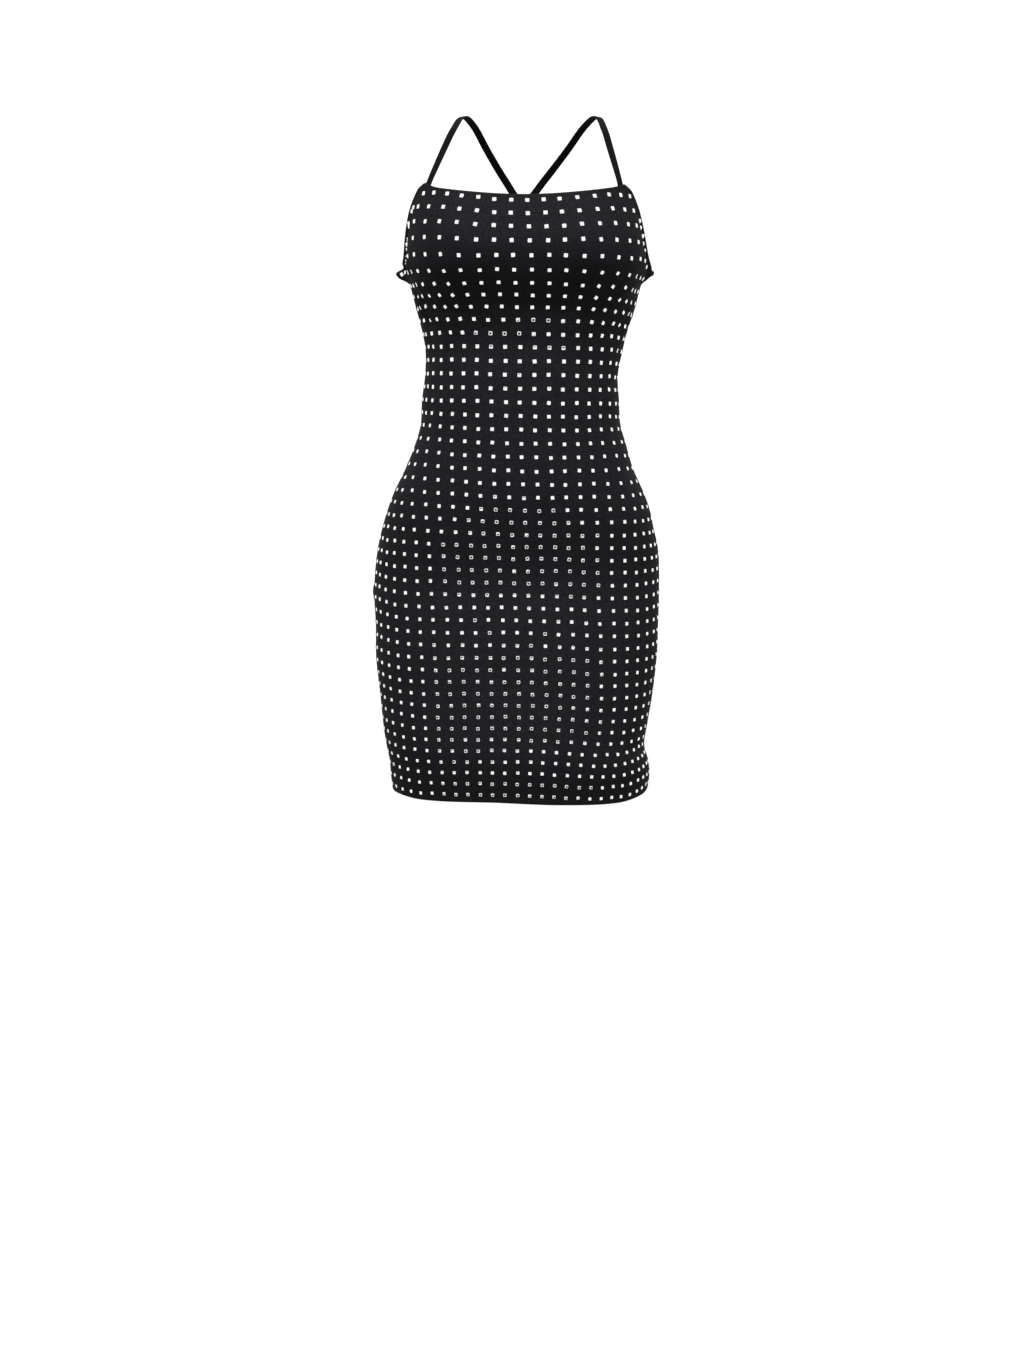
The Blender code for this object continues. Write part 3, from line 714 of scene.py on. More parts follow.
def shell_faces(wide, tall):
    """Faces of an outer and an inner grid of points, joined round their rim."""
    total = wide * tall
    faces = []
    for c in range(wide - 1):
        for r in range(tall - 1):
            a, b = c * tall + r, (c + 1) * tall + r
            faces.append((a, b, b + 1, a + 1))
            faces.append((total + a, total + a + 1, total + b + 1, total + b))
        for r, flip in ((0, True), (tall - 1, False)):
            a, b = c * tall + r, (c + 1) * tall + r
            rim = (a, b, total + b, total + a)
            faces.append(rim[::-1] if flip else rim)
    for c, flip in ((0, False), (wide - 1, True)):
        for a in range(c * tall, c * tall + tall - 1):
            side = (a, a + 1, total + a + 1, total + a)
            faces.append(side[::-1] if flip else side)
    return faces


# ======== the panels
def grid_normals(grid):
    """Outward directions of a grid of points, columns from -X to +X, rows upwards."""
    columns, rows = len(grid), len(grid[0])

    def normal(c, r):
        across = grid[min(c + 1, columns - 1)][r] - grid[max(c - 1, 0)][r]
        up = grid[c][min(r + 1, rows - 1)] - grid[c][max(r - 1, 0)]
        return across.cross(up).normalized()

    return [[normal(c, r) for r in range(rows)] for c in range(columns)]


def cloth_offsets(from_edge, from_seam):
    """How far the outer and inner sides of the cloth lie from the wall's inner face."""
    outer = WALL + EDGE_ROLL * bump(from_edge - EDGE_ROLL_AT, EDGE_ROLL_WIDTH)
    outer -= STITCH_DIP * bump(from_edge - STITCH_LINE, STITCH_DIP_WIDTH)
    outer -= SEAM_DIP * bump(from_seam, SEAM_DIP_WIDTH)
    inner = WALL - CLOTH
    doubled = 1.0 - ease(min(from_edge, from_seam), ALLOWANCE, ALLOWANCE + ALLOWANCE_STEP)
    inner -= CLOTH * doubled
    if from_edge < CLOTH:
        middle, half = (outer + inner) / 2, (outer - inner) / 2
        half *= math.sqrt(max(1.0 - (1.0 - from_edge / CLOTH) ** 2, EDGE_LEAST))
        outer, inner = middle + half, middle - half
    return outer, inner


def panel_column(turn, top_height):
    """Heights of one column from hem to top, each with its distance from the nearest edge."""
    low, high = hem_height(turn), top_height(turn)
    steep_low, steep_high = edge_steepness(hem_height, turn), edge_steepness(top_height, turn)
    column = [(low + inset * steep_low, inset) for inset in EDGE_STEPS]
    start = low + EDGE_STEPS[-1] * steep_low
    end = high - EDGE_STEPS[-1] * steep_high
    for i in range(1, PANEL_ROWS):
        column.append((start + (end - start) * i / PANEL_ROWS, FAR_INSIDE))
    return column + [(high - inset * steep_high, inset) for inset in reversed(EDGE_STEPS)]


def panel_turns(start, end, corners=()):
    """Turns of the columns, each with its distance from the nearest side seam.

    The columns are closer beside the seams, and the neckline's corners have their own."""
    fine = even_turns(start, end, PANEL_READINGS)
    lengths = run_lengths([worn_point(turn, PANEL_LEVEL_Z) for turn in fine])
    total, seam = lengths[-1], SEAM_STEPS[-1]
    count = round((total - 2 * seam) / PANEL_COLUMN)
    stations = list(SEAM_STEPS)
    stations += [seam + (total - 2 * seam) * i / count for i in range(1, count)]
    stations += [total - step for step in reversed(SEAM_STEPS)]
    turns = []
    for station in stations:
        i, t = find_step(lengths, station)
        turns.append((fine[i] + (fine[i + 1] - fine[i]) * t, min(station, total - station)))
    for corner in corners:
        nearest = min(range(len(turns)), key=lambda k: abs(turns[k][0] - corner))
        turns[nearest] = (corner, turns[nearest][1])
    return turns


def painted_light_tone(turn, z):
    """Painted light and shade: height sets it at the front; it evens out round the back."""
    front = smooth_row(PAINTED_LIGHT_BY_HEIGHT, z).pale
    return 1.0 + (front - 1.0) * (0.5 + 0.5 * math.cos(math.radians(turn)))


def make_panel(name, start, end, top_height, material, corners=()):
    """A shell of knit from hem to upper edge, its edges turned to the inside."""
    turns = panel_turns(start, end, corners)
    columns = [panel_column(turn, top_height) for turn, _ in turns]
    grid = []
    for (turn, _), column in zip(turns, columns):
        grid.append([worn_point(turn, z, True) for z, _ in column])
    normals = grid_normals(grid)
    wide, tall = len(grid), len(grid[0])
    across = run_lengths([column[tall // 2] for column in grid])
    outside, inside, uv, painted_tones = [], [], [], []
    for c, (turn, from_seam) in enumerate(turns):
        upwards = run_lengths(grid[c])
        for r, (z, from_edge) in enumerate(columns[c]):
            outer, inner = cloth_offsets(from_edge, from_seam)
            outside.append(grid[c][r] + normals[c][r] * outer)
            inside.append(grid[c][r] + normals[c][r] * inner)
            uv.append((across[c], upwards[r]))
            # each point of the panel carries its painted light and shade as a mark
            painted_tones.append(painted_light_tone(turn, z))
    tones = {"painted_light_tone": painted_tones * 2}
    return make_piece(name, outside + inside, shell_faces(wide, tall), material, uv + uv, tones)


# ======== the studs' layout
def row_height(row_z, turn):
    """Height of a stud row at a turn of the front; round the back it eases between the sides."""
    rise = smooth_row(ROW_RISE, row_z)
    turn = signed_turn(turn)
    if abs(turn) <= SEAM_TURN:
        return row_z + smooth_between(rise[1:], RISE_TURNS, turn) / MILLIMETRES
    back = turn if turn > 0 else turn + 360.0
    share = ease(back, SEAM_TURN, 360.0 - SEAM_TURN)
    side = rise.l90 + (rise.r90 - rise.l90) * share
    fade = abs(math.cos(math.radians(back))) ** 2
    return row_z + side * (1.0 - BACK_LEVELLING * fade) / MILLIMETRES


def row_walk(row_z, start, end):
    """Turns along a row, and the length along it at each of them."""
    turns = even_turns(start, end, round((end - start) / ROW_READING))
    return turns, run_lengths([worn_point(turn, row_height(row_z, turn)) for turn in turns])


def turns_at_counts(turns, counts):
    """Turns where a running count passes each whole number."""
    found = []
    for number in range(math.ceil(counts[0]), math.floor(counts[-1]) + 1):
        i, t = find_step(counts, number)
        found.append(turns[i] + (turns[i + 1] - turns[i]) * t)
    return found


def front_row(row_z):
    turns, lengths = row_walk(row_z, -ROW_END_TURN, ROW_END_TURN)
    centre = lengths[min(range(len(turns)), key=lambda k: abs(turns[k]))]
    begin = centre + smooth_row(COLUMN_START, row_z).across
    pitch = smooth_row(COLUMN_PITCH, row_z)[1:]
    counts = [0.0]
    for i in range(len(turns) - 1):
        spacing = smooth_between(pitch, PITCH_TURNS, (turns[i] + turns[i + 1]) / 2) / MILLIMETRES
        counts.append(counts[-1] + (lengths[i + 1] - lengths[i]) / spacing)
    at_begin = smooth_between(counts, lengths, begin)
    return turns_at_counts(turns, [count - at_begin for count in counts])


def back_row(row_z):
    turns, lengths = row_walk(row_z, 180.0 - ROW_END_TURN, 180.0 + ROW_END_TURN)
    pitch = BACK_COLUMN * (1.0 + BACK_HIP_PULL * bump(row_z - BACK_HIP_Z, BACK_HIP_HEIGHT))
    half = lengths[-1] / 2
    return turns_at_counts(turns, [(length - half) / pitch for length in lengths])


def row_heights():
    heights = [FIRST_ROW_Z]
    while len(heights) < ROW_COUNT:
        z = heights[-1]
        pitch = smooth_row(ROW_PITCH, z).pitch
        heights.append(z - smooth_row(ROW_PITCH, z - pitch / 2).pitch)
    return heights


def clear_of_edges(turn, z, top_height):
    steep = edge_steepness(top_height, turn)
    if (top_height(turn) - z) / steep < STUD_FROM_EDGE or z - hem_height(turn) < STUD_FROM_HEM:
        return False
    return math.radians(abs(SEAM_TURN - abs(signed_turn(turn)))) * SEAM_RADIUS > STUD_FROM_SEAM


# ahead_z, behind_z: height of the row beside the stud, towards +X and -X at the front.
StudPlace = namedtuple("StudPlace", "turn z ahead_z behind_z")


def row_places(rows, row_turns, top_height):
    """Every place in the rows that lies clear of the piece's edges."""
    places = []
    for row_z in rows:
        for turn in row_turns(row_z):
            z = row_height(row_z, turn)
            if clear_of_edges(turn, z, top_height):
                beside = row_height(row_z, turn + BESIDE), row_height(row_z, turn - BESIDE)
                places.append(StudPlace(turn, z, *beside))
    return places


def rim_places():
    """Places in the armholes' turned edges, found by halving the turns that hold each."""
    places = []
    for stud in RIM_STUDS:
        low, high = RIM_FIRST_TURN, SEAM_TURN
        for _ in range(HALVINGS):
            turn = (low + high) / 2
            if from_armhole(stud.side * turn, stud.z) > stud.inset:
                low = turn
            else:
                high = turn
        places.append(StudPlace(stud.side * low, stud.z, stud.z, stud.z))
    return places


# ======== the studs
def stud_directions(place, spin, tilt_side, tilt_up):
    """Sideways, upwards and outwards of one stud as it lies in its row."""
    turn, z, ahead_z, behind_z = place
    out = worn_normal(turn, z, True)
    side = worn_point(turn + BESIDE, ahead_z) - worn_point(turn - BESIDE, behind_z)
    side = (side - out * side.dot(out)).normalized()
    up = out.cross(side)
    lean = STUD_LEAN * bump(z - LEAN_Z, LEAN_HEIGHT)
    lean *= ease(abs(signed_turn(turn)), LEAN_FROM_TURN, LEAN_FULL_TURN)
    if signed_turn(turn) > 0:
        lean = -lean
    angle = math.radians(STUD_SPIN * spin + lean)
    side, up = (
        side * math.cos(angle) + up * math.sin(angle),
        up * math.cos(angle) - side * math.sin(angle),
    )
    tilt = math.radians(STUD_TILT)
    out = (out + side * tilt * tilt_side + up * tilt * tilt_up).normalized()
    side = (side - out * side.dot(out)).normalized()
    return side, out.cross(side), out


def stud_points(place, side, up, out, size, cloth_over):
    """The rings of one stud: a square with rounded corners, its slopes and its sunk top."""
    points = []
    raised = []
    for a, b in STUD_CORNERS:
        raised.append(max(cloth_over(side * (a * size) + up * (b * size)), 0.0))
    for ring in STUD_RINGS:
        half = size * ring.half
        for (a, b), lift in zip(STUD_CORNERS, raised):
            points.append(place + side * (a * half) + up * (b * half) + out * (ring.height + lift))
    return points


def make_studs(name, places, material, rolls):
    points, faces, levels, polish, tones = [], [], [], [], []
    rings, corners = len(STUD_RINGS), len(STUD_CORNERS)
    for stud_place in places:
        turn, z = stud_place.turn, stud_place.z
        shift_side, shift_up = rolls.uniform(-1, 1), rolls.uniform(-1, 1)
        turned = [rolls.gauss(0, STUD_SPREAD) for _ in range(3)]
        tone = rolls.random()
        side, up, out = stud_directions(stud_place, *turned)
        skin = worn_point(turn, z, True)
        shift = (side * shift_side + up * shift_up) * STUD_SHIFT
        degree = worn_point(turn + 0.5, z) - worn_point(turn - 0.5, z)

        def cloth_over(reach):
            """How much of the cloth's rise at this reach a rigid stud can't be buried in."""
            reach = reach + shift
            beside = turn + reach.dot(degree) / degree.length_squared
            rise = worn_point(beside, z + reach.z, True) - skin - reach
            return rise.dot(out) - STUD_BURIED

        size = smooth_row(STUD_SIZE, z).half
        faces += ring_faces(len(points), rings, corners)
        points += stud_points(skin + out * WALL + shift, side, up, out, size, cloth_over)
        for ring in STUD_RINGS:
            levels += [max(ring.height, 0.0) / STUD_TOP] * corners
            polish += [ring.polish] * corners
        tones += [tone] * (rings * corners)
    marks = {"stud_level": levels, "stud_polish": polish, "stud_tone": tones}
    piece = make_piece(name, points, faces, material, None, marks, STUD_SHARP)
    return piece


# ======== stitches
def stitch(points, faces, start, end, out):
    """One short stitch of thread lying on the cloth: a thin bead with pointed ends."""
    along = (end - start).normalized()
    across = along.cross(out).normalized()
    length = (end - start).length
    faces += ring_faces(len(points), len(STITCH_RINGS), STITCH_SIDES, clockwise=True)
    for ring in STITCH_RINGS:
        centre = start + along * (length * ring.share) + out * (STITCH_RADIUS * ring.lift)
        for k in range(STITCH_SIDES):
            angle = 2.0 * math.pi * k / STITCH_SIDES
            spoke = across * math.cos(angle) + out * math.sin(angle)
            points.append(centre + spoke * (STITCH_RADIUS * ring.radius))


def stitch_run(points, faces, start, end, height):
    """Stitches beside an edge; height gives the line's height at a turn."""
    places, outs = [], []
    for turn in even_turns(start, end, round((end - start) / STITCH_READING)):
        z = height(turn)
        out = worn_normal(turn, z, True)
        places.append(worn_point(turn, z, True) + out * (WALL - STITCH_DIP * STITCH_SUNK))
        outs.append(out)
    lengths = run_lengths(places)

    def read(station):
        i, t = find_step(lengths, station)
        return places[i].lerp(places[i + 1], t), outs[i]

    station = STITCH_SPACING
    while station + STITCH_LENGTH < lengths[-1]:
        begin, out = read(station)
        finish, _ = read(station + STITCH_LENGTH)
        stitch(points, faces, begin, finish, out)
        station += STITCH_SPACING


def make_stitches(name, runs, material):
    points, faces = [], []
    for start, end, height in runs:
        stitch_run(points, faces, start, end, height)
    piece = make_piece(name, points, faces, material)
    return piece


def below(height, inset):
    return lambda turn: height(turn) - inset * edge_steepness(height, turn)


# ======== the straps
def strap_route(side, outer):
    """Places and outer directions of one strap: side is 1 for the wearer's left, -1 right."""
    route = []
    inset = -(STRAP_INSET + STRAP_THICKNESS / 2)
    for point in STRAP_START:
        normal = worn_normal(side * point.turn, point.z)
        route.append((worn_point(side * point.turn, point.z) + normal * inset, normal))
    for point in SHOULDER_ROUTE:
        place = Vector((mid_line(point.z) + side * point.across, point.y, point.z))
        facing = Vector((side * point.face_across, point.face_y, point.face_up))
        route.append((place, facing.normalized()))
    crossing = worn_point(180.0, BACK_ROUTE[1].z)
    for point in BACK_ROUTE:
        turn = 180.0 + side * point.turn
        normal = worn_normal(turn, point.z)
        place = worn_point(turn, point.z)
        lift = STRAP_THICKNESS / 2 - (STRAP_THICKNESS + TIP_INSET) * point.tucked
        if outer:
            lift += CROSSING_LIFT * bump((place - crossing).length, CROSSING_SPREAD)
        route.append((place + normal * lift, normal))
    return route


def eased_route(route, spacing):
    """The route's points joined by a Catmull-Rom curve and read at an even spacing."""
    fine = []
    for i in range(len(route) - 1):
        before, after = route[max(i - 1, 0)], route[min(i + 2, len(route) - 1)]
        (p1, n1), (p2, n2) = route[i], route[i + 1]
        for step in range(CURVE_STEPS):
            t = step / CURVE_STEPS
            place = 0.5 * (
                2.0 * p1
                + (p2 - before[0]) * t
                + (2.0 * before[0] - 5.0 * p1 + 4.0 * p2 - after[0]) * t * t
                + (3.0 * p1 - before[0] - 3.0 * p2 + after[0]) * t ** 3
            )
            fine.append((place, n1.lerp(n2, t).normalized()))
    fine.append(route[-1])
    lengths = run_lengths([place for place, _ in fine])
    count = round(lengths[-1] / spacing)
    read = []
    for k in range(count + 1):
        i, t = find_step(lengths, lengths[-1] * k / count)
        (p1, n1), (p2, n2) = fine[i], fine[i + 1]
        read.append((p1.lerp(p2, t), n1.lerp(n2, t)))
    return read


def make_strap(name, side, outer, material):
    """A flat turned tube: rounded edges, a soft hollow along its middle and a seam inside."""
    stations = eased_route(strap_route(side, outer), STRAP_STATION)
    points, uv = [], []
    power = 2.0 / STRAP_SQUARENESS
    for i, (place, facing) in enumerate(stations):
        ahead = stations[min(i + 1, len(stations) - 1)][0]
        behind = stations[max(i - 1, 0)][0]
        along = (ahead - behind).normalized()
        across = along.cross(facing).normalized()
        outward = across.cross(along)
        for k in range(STRAP_SIDES):
            angle = 2.0 * math.pi * k / STRAP_SIDES
            c, s = math.cos(angle), math.sin(angle)
            a = STRAP_WIDTH / 2 * math.copysign(abs(c) ** power, c)
            o = STRAP_THICKNESS / 2 * math.copysign(abs(s) ** power, s)
            o *= 1.0 - STRAP_HOLLOW * bump(a, STRAP_WIDTH * STRAP_HOLLOW_WIDTH)
            if s < 0:
                o += STRAP_THICKNESS * STRAP_SEAM * bump(a, STRAP_WIDTH * STRAP_SEAM_WIDTH)
            points.append(place + across * a + outward * o)
            uv.append((a + (INNER_MAP_SHIFT if s < 0 else 0.0), i * STRAP_STATION))
    faces = ring_faces(0, len(stations), STRAP_SIDES, clockwise=True)
    # the straps carry no painted light and shade: their mark is 1 everywhere
    even = {"painted_light_tone": [1.0] * len(points)}
    return make_piece(name, points, faces, material, uv, even, STRAP_SHARP), stations


def make_tacks(name, stations, material):
    """Close zigzag stitches across both ends of a strap, on the side towards the body."""
    points, faces = [], []
    for end in (TACK_STATION, len(stations) - 2 - TACK_STATION):
        (low, facing), (high, _) = stations[end], stations[end + 1]
        along = (high - low).normalized()
        across = along.cross(facing).normalized()
        inward = across.cross(along) * -1.0
        rows = [place + inward * (STRAP_THICKNESS / 2) for place in (low, high)]
        half = STRAP_WIDTH * TACK_SHARE / 2
        for k in range(TACK_COUNT):
            start = rows[k % 2] + across * (half * (2.0 * k / TACK_COUNT - 1.0))
            finish = rows[1 - k % 2] + across * (half * (2.0 * (k + 1) / TACK_COUNT - 1.0))
            stitch(points, faces, start, finish, inward)
    piece = make_piece(name, points, faces, material)
    return piece


# ======== node helpers
FLOAT, VECTOR = "NodeSocketFloat", "NodeSocketVector"


def feed(tree, socket, source):
    """Links a source to a socket, or sets the socket where the source is a plain value."""
    if isinstance(source, bpy.types.NodeSocket):
        tree.links.new(source, socket)
    else:
        socket.default_value = source


def feed_all(tree, node, sources):
    for label, source in sources.items():
        feed(tree, node.inputs[label], source)
    return node


def new_node(tree, kind, sources, **settings):
    node = tree.nodes.new("ShaderNode" + kind)
    for setting, value in settings.items():
        setattr(node, setting, value)
    return feed_all(tree, node, sources)


def new_group(name, inputs, outputs):
    group = bpy.data.node_groups.new(name, "ShaderNodeTree")
    for label, kind, value in inputs:
        socket = group.interface.new_socket(name=label, in_out="INPUT", socket_type=kind)
        if value is not None:
            socket.default_value = value
    for label in outputs:
        group.interface.new_socket(name=label, in_out="OUTPUT", socket_type=FLOAT)
    return group, group.nodes.new("NodeGroupInput").outputs, group.nodes.new("NodeGroupOutput")


def reckon(tree, operation, *sources):
    return new_node(tree, "Math", dict(enumerate(sources)), operation=operation).outputs[0]


def span(tree, value, low, high, to_low, to_high):
    labels = ("Value", "From Min", "From Max", "To Min", "To Max")
    sources = dict(zip(labels, (value, low, high, to_low, to_high)))
    return new_node(tree, "MapRange", sources).outputs["Result"]


def blend_colour(tree, share, dark, light):
    """A Mix node's inputs 6 and 7 are its two colours."""
    return new_node(tree, "Mix", {0: share, 6: dark, 7: light}, data_type="RGBA").outputs[2]


def add_bump(tree, height, strength, distance, below_it=None):
    sources = {"Height": height, "Strength": strength, "Distance": distance}
    if below_it is not None:
        sources["Normal"] = below_it
    return new_node(tree, "Bump", sources).outputs["Normal"]


def read_mark(tree, name):
    return new_node(tree, "Attribute", {}, attribute_name=name).outputs["Fac"]


def object_place(tree):
    return tree.nodes.new("ShaderNodeTexCoord").outputs["Object"]


# ======== finishes
def fine_knit_group():
    """Rows of small V loops. Cloth Metres is the cloth's own map, Loop Width in metres."""
    inputs = [("Cloth Metres", VECTOR, None), ("Loop Width", FLOAT, 0.001),
              ("Loop Height", FLOAT, 0.0008)]
    group, given, made = new_group("fine knit", inputs, ["Height", "Gaps"])
    cloth = new_node(group, "SeparateXYZ", {0: given["Cloth Metres"]}).outputs
    wales = reckon(group, "DIVIDE", cloth["X"], given["Loop Width"])
    off = reckon(group, "ABSOLUTE", reckon(group, "SUBTRACT", reckon(group, "FRACT", wales), 0.5))
    legs = reckon(group, "SINE", reckon(group, "MULTIPLY", off, 2 * math.pi))
    courses = reckon(group, "DIVIDE", cloth["Y"], given["Loop Height"])
    slanted = reckon(group, "MULTIPLY_ADD", off, LOOP_SLANT, courses)
    wave = reckon(group, "SINE", reckon(group, "MULTIPLY", slanted, 2 * math.pi))
    rows = reckon(group, "MULTIPLY_ADD", wave, LOOP_WAVE, 1.0 - LOOP_WAVE)
    height = reckon(group, "MULTIPLY", legs, rows)
    feed_all(group, made, {"Height": height, "Gaps": reckon(group, "SUBTRACT", 1.0, height)})
    return group


def uneven_group():
    """Soft uneven tone: broad clouds and fine grain, for cloth, thread and metal alike."""
    inputs = [("Place", VECTOR, None), ("Cloud Scale", FLOAT, 22.0), ("Grain Scale", FLOAT, 900.0)]
    group, given, made = new_group("uneven surface", inputs, ["Clouds", "Grain"])
    for label, out, detail in (("Cloud", "Clouds", 3.0), ("Grain", "Grain", 2.0)):
        sources = {"Vector": given["Place"], "Scale": given[label + " Scale"], "Detail": detail}
        noise = new_node(group, "TexNoise", sources).outputs["Fac"]
        feed(group, made.inputs[out], span(group, noise, *NOISE_RANGE, 0.0, 1.0))
    return group


def start_material(name):
    material = bpy.data.materials.new(name)
    material.use_nodes = True
    tree = material.node_tree
    return material, tree, tree.nodes["Principled BSDF"]


def uneven_tone(tree, uneven, clouds, grain):
    """The uneven surface at a material's own scales."""
    sources = {"Cloud Scale": clouds, "Grain Scale": grain, "Place": object_place(tree)}
    return new_node(tree, "Group", sources, node_tree=uneven).outputs


def knit_material(name, knit, uneven, shades, loop):
    material, tree, shader = start_material(name)
    cloth_map = new_node(tree, "UVMap", {}, uv_map="cloth_metres").outputs["UV"]
    sources = {"Loop Width": loop, "Loop Height": loop * LOOP_SHAPE, "Cloth Metres": cloth_map}
    loops = new_node(tree, "Group", sources, node_tree=knit).outputs["Height"]
    tone = uneven_tone(tree, uneven, clouds=26.0, grain=430.0)
    clouds, grain = tone["Clouds"], tone["Grain"]
    share = reckon(tree, "MULTIPLY_ADD", grain, GRAIN_SHARE,
                   reckon(tree, "MULTIPLY", clouds, CLOUD_SHARE))
    share = reckon(tree, "MULTIPLY_ADD", loops, LOOP_SHARE, share)
    colour = blend_colour(tree, share, *shades)
    # the knit's colour is scaled by the painted light and shade of each place
    painted_light_colour = {0: colour, "Scale": read_mark(tree, "painted_light_tone")}
    soft = add_bump(tree, clouds, strength=0.25, distance=0.0016)
    fuzz = add_bump(tree, grain, strength=0.25, distance=0.0002, below_it=soft)
    feed_all(tree, shader, {
        "Base Color": new_node(tree, "VectorMath", painted_light_colour, operation="SCALE").outputs[0],
        "Roughness": span(tree, clouds, 0.0, 1.0, 0.82, 0.95),
        "Normal": add_bump(tree, loops, strength=0.45, distance=0.00018, below_it=fuzz),
        "Specular IOR Level": 0.06,
        "Sheen Weight": 0.01,
        "Sheen Roughness": 0.45,
        "Sheen Tint": (0.55, 0.6, 0.6, 1.0),
    })
    return material


def thread_material(uneven):
    material, tree, shader = start_material("black_thread")
    tone = uneven_tone(tree, uneven, clouds=60.0, grain=2400.0)
    feed_all(tree, shader, {
        "Base Color": blend_colour(tree, tone["Grain"], *THREAD_SHADES),
        "Roughness": span(tree, tone["Clouds"], 0.0, 1.0, 0.55, 0.7),
        "Normal": add_bump(tree, tone["Grain"], strength=0.3, distance=0.0001),
    })
    return material


def stud_material(uneven):
    """Satin slopes and a polished top, a little brighter or duller from stud to stud."""
    material, tree, shader = start_material("polished_silver_studs")
    tone = uneven_tone(tree, uneven, clouds=160.0, grain=3200.0)
    each = read_mark(tree, "stud_tone")
    raised = span(tree, read_mark(tree, "stud_level"), 0.0, RAISED_FROM, 0.0, 1.0)
    bright = reckon(tree, "MULTIPLY_ADD", each, TONE_SHARE,
                    reckon(tree, "MULTIPLY", raised, 1.0 - TONE_SHARE))
    rough = span(tree, read_mark(tree, "stud_polish"), 0.0, 1.0, SATIN, POLISHED)
    rough = reckon(tree, "MULTIPLY_ADD", tone["Clouds"], STUD_VARIES, rough)
    feed_all(tree, shader, {
        "Base Color": blend_colour(tree, bright, *SILVER_SHADES),
        "Roughness": reckon(tree, "MULTIPLY_ADD", each, STUD_VARIES, rough),
        "Normal": add_bump(tree, tone["Grain"], strength=0.08, distance=0.00005),
        "Metallic": 1.0,
    })
    return material


def floor_material():
    """Pale floor that fades away at its rim."""
    material, tree, shader = start_material("studio_floor")
    away = new_node(tree, "VectorMath", {0: object_place(tree)}, operation="LENGTH")
    fade = FLOOR_RADIUS * FLOOR_FADE
    feed_all(tree, shader, {
        "Base Color": (0.94, 0.94, 0.94, 1.0),
        "Roughness": 0.9,
        "Specular IOR Level": 0.1,
        "Alpha": span(tree, away.outputs["Value"], fade, FLOOR_RADIUS, 1.0, 0.0),
    })
    return material


# ======== the studio
def make_camera():
    data = bpy.data.cameras.new("studio_camera")
    data.lens = CAMERA_LENS
    data.sensor_width = SENSOR
    data.sensor_fit = "AUTO"
    camera = put_in_scene("studio_camera", data)
    camera.location = CAMERA_PLACE
    camera.rotation_euler = (math.radians(CAMERA_PITCH), 0.0, 0.0)
    bpy.context.scene.camera = camera


def make_soft_light(name, place, size, power):
    data = bpy.data.lights.new(name, "AREA")
    data.shape = "RECTANGLE"
    data.size, data.size_y = size
    data.energy = power
    light = put_in_scene(name, data)
    light.location = place
    aim = Vector(LIGHT_AIM) - Vector(place)
    light.rotation_euler = aim.to_track_quat("-Z", "Y").to_euler()
    light.visible_camera = False
    light.visible_glossy = False


def make_world():
    """White behind the dress; for reflections a bright room, dim low in front and behind."""
    world = bpy.data.worlds.new("white_room")
    world.use_nodes = True
    tree = world.node_tree
    tree.nodes.clear()
    out = tree.nodes.new("ShaderNodeOutputWorld")
    look = tree.nodes.new("ShaderNodeTexCoord").outputs["Generated"]
    towards = new_node(tree, "SeparateXYZ", {0: look}).outputs
    across = reckon(tree, "DIVIDE", towards["X"], DIM_HALF_WIDTH)
    level = reckon(tree, "ADD", towards["Z"], DIM_BELOW)
    tall = reckon(tree, "DIVIDE", level, DIM_HALF_HEIGHT)
    off = reckon(tree, "ADD", reckon(tree, "POWER", across, DIM_ROUNDNESS),
                 reckon(tree, "POWER", tall, DIM_ROUNDNESS))
    patch = span(tree, off, *DIM_SOFT, 1.0, 0.0)
    room = reckon(tree, "MULTIPLY_ADD", patch, -ROOM_DIMMED, ROOM_BRIGHT)
    softly = span(tree, towards["Z"], *ROOM_LEVELS, *ROOM_LIGHT)
    paths = tree.nodes.new("ShaderNodeLightPath").outputs
    lit = new_node(tree, "Mix", {0: paths["Is Diffuse Ray"], 2: room, 3: softly}).outputs[0]
    strength = reckon(tree, "MAXIMUM", lit, paths["Is Camera Ray"])
    white = {"Color": (1.0, 1.0, 1.0, 1.0), "Strength": strength}
    feed(tree, out.inputs[0], new_node(tree, "Background", white).outputs[0])
    bpy.context.scene.world = world


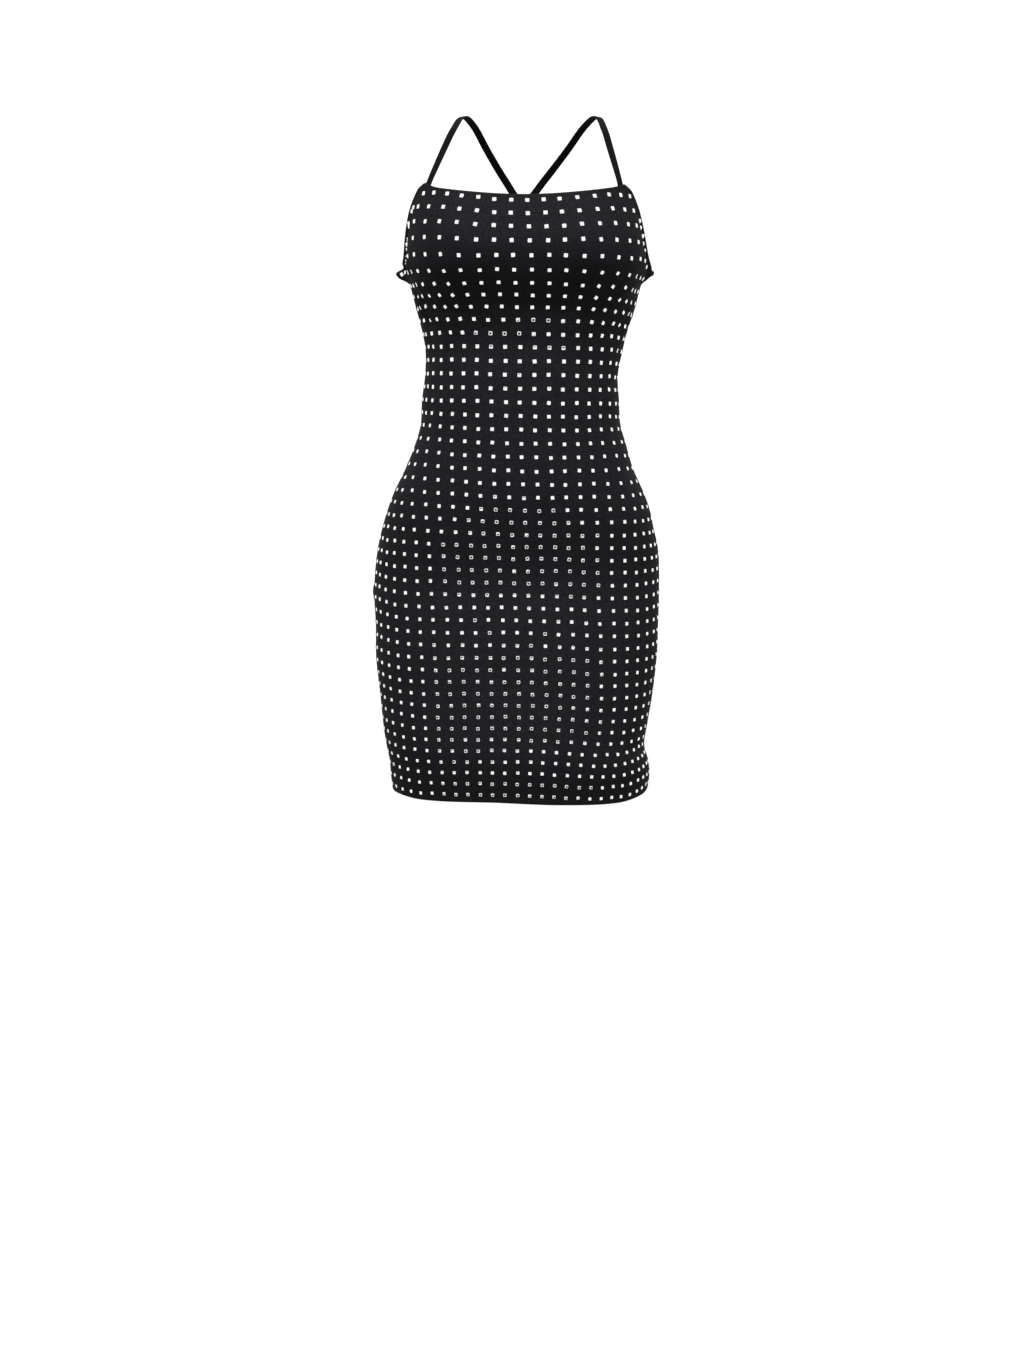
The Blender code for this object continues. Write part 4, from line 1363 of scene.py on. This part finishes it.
def make_floor():
    points = [(0.0, 0.0, 0.0)]
    for k in range(FLOOR_SIDES):
        angle = 2 * math.pi * k / FLOOR_SIDES
        points.append((FLOOR_RADIUS * math.cos(angle), FLOOR_RADIUS * math.sin(angle), 0.0))
    faces = [(0, 1 + k, 1 + (k + 1) % FLOOR_SIDES) for k in range(FLOOR_SIDES)]
    mesh = bpy.data.meshes.new("floor")
    mesh.from_pydata(points, [], faces)
    mesh.materials.append(floor_material())
    floor = put_in_scene("floor", mesh)
    floor.location = (0.0, 0.0, FLOOR_Z)
    floor.visible_diffuse = False
    floor.visible_glossy = False


# ======== the dress
def dress_up():
    knit, uneven = fine_knit_group(), uneven_group()
    body_knit = knit_material("black_stretch_knit", knit, uneven, BODY_SHADES, BODY_LOOP)
    strap_knit = knit_material("black_strap_knit", knit, uneven, STRAP_SHADES, STRAP_LOOP)
    thread = thread_material(uneven)
    silver = stud_material(uneven)

    corners = (-CORNER_TURN, CORNER_TURN)
    front = make_panel("front_cloth", -SEAM_TURN, SEAM_TURN, front_top_height, body_knit, corners)
    back = make_panel("back_cloth", 180.0 - SEAM_TURN, 180.0 + SEAM_TURN, back_top_height,
                      body_knit)
    for piece, node in ((front, "front"), (back, "back")):
        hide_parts(node)

    rolls = random.Random(STUD_SEED)
    rows = row_heights()
    front_places = row_places(rows, front_row, front_top_height) + rim_places()
    front_studs = make_studs("front_studs", front_places, silver, rolls)
    back_places = row_places(rows, back_row, back_top_height)
    back_studs = make_studs("back_studs", back_places, silver, rolls)

    seam, corner = STITCH_END_TURN, CORNER_TURN
    neckline, hemline = below(front_top_height, STITCH_LINE), below(hem_height, -STITCH_LINE)
    front_stitches = make_stitches("front_stitches", (
        (-corner + STITCH_FROM_CORNER, corner - STITCH_FROM_CORNER, neckline),
        (-seam, -corner - STITCH_FROM_CORNER, neckline),
        (corner + STITCH_FROM_CORNER, seam, neckline),
        (-seam, seam, hemline),
    ), thread)
    back_stitches = make_stitches("back_stitches", (
        (180.0 - seam, 180.0 + seam, below(back_top_height, STITCH_LINE)),
        (180.0 - seam, 180.0 + seam, hemline),
    ), thread)

    for name, side, outer in (("strap_right", -1, False), ("strap_left", 1, True)):
        strap, stations = make_strap(name + "_tube", side, outer, strap_knit)
        tacks = make_tacks(name + "_tacks", stations, thread)
        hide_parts(name)


make_camera()
make_world()
make_floor()
for soft_light in LIGHTS:
    make_soft_light(*soft_light)
dress_up()
bpy.context.scene.view_settings.view_transform = "Standard"
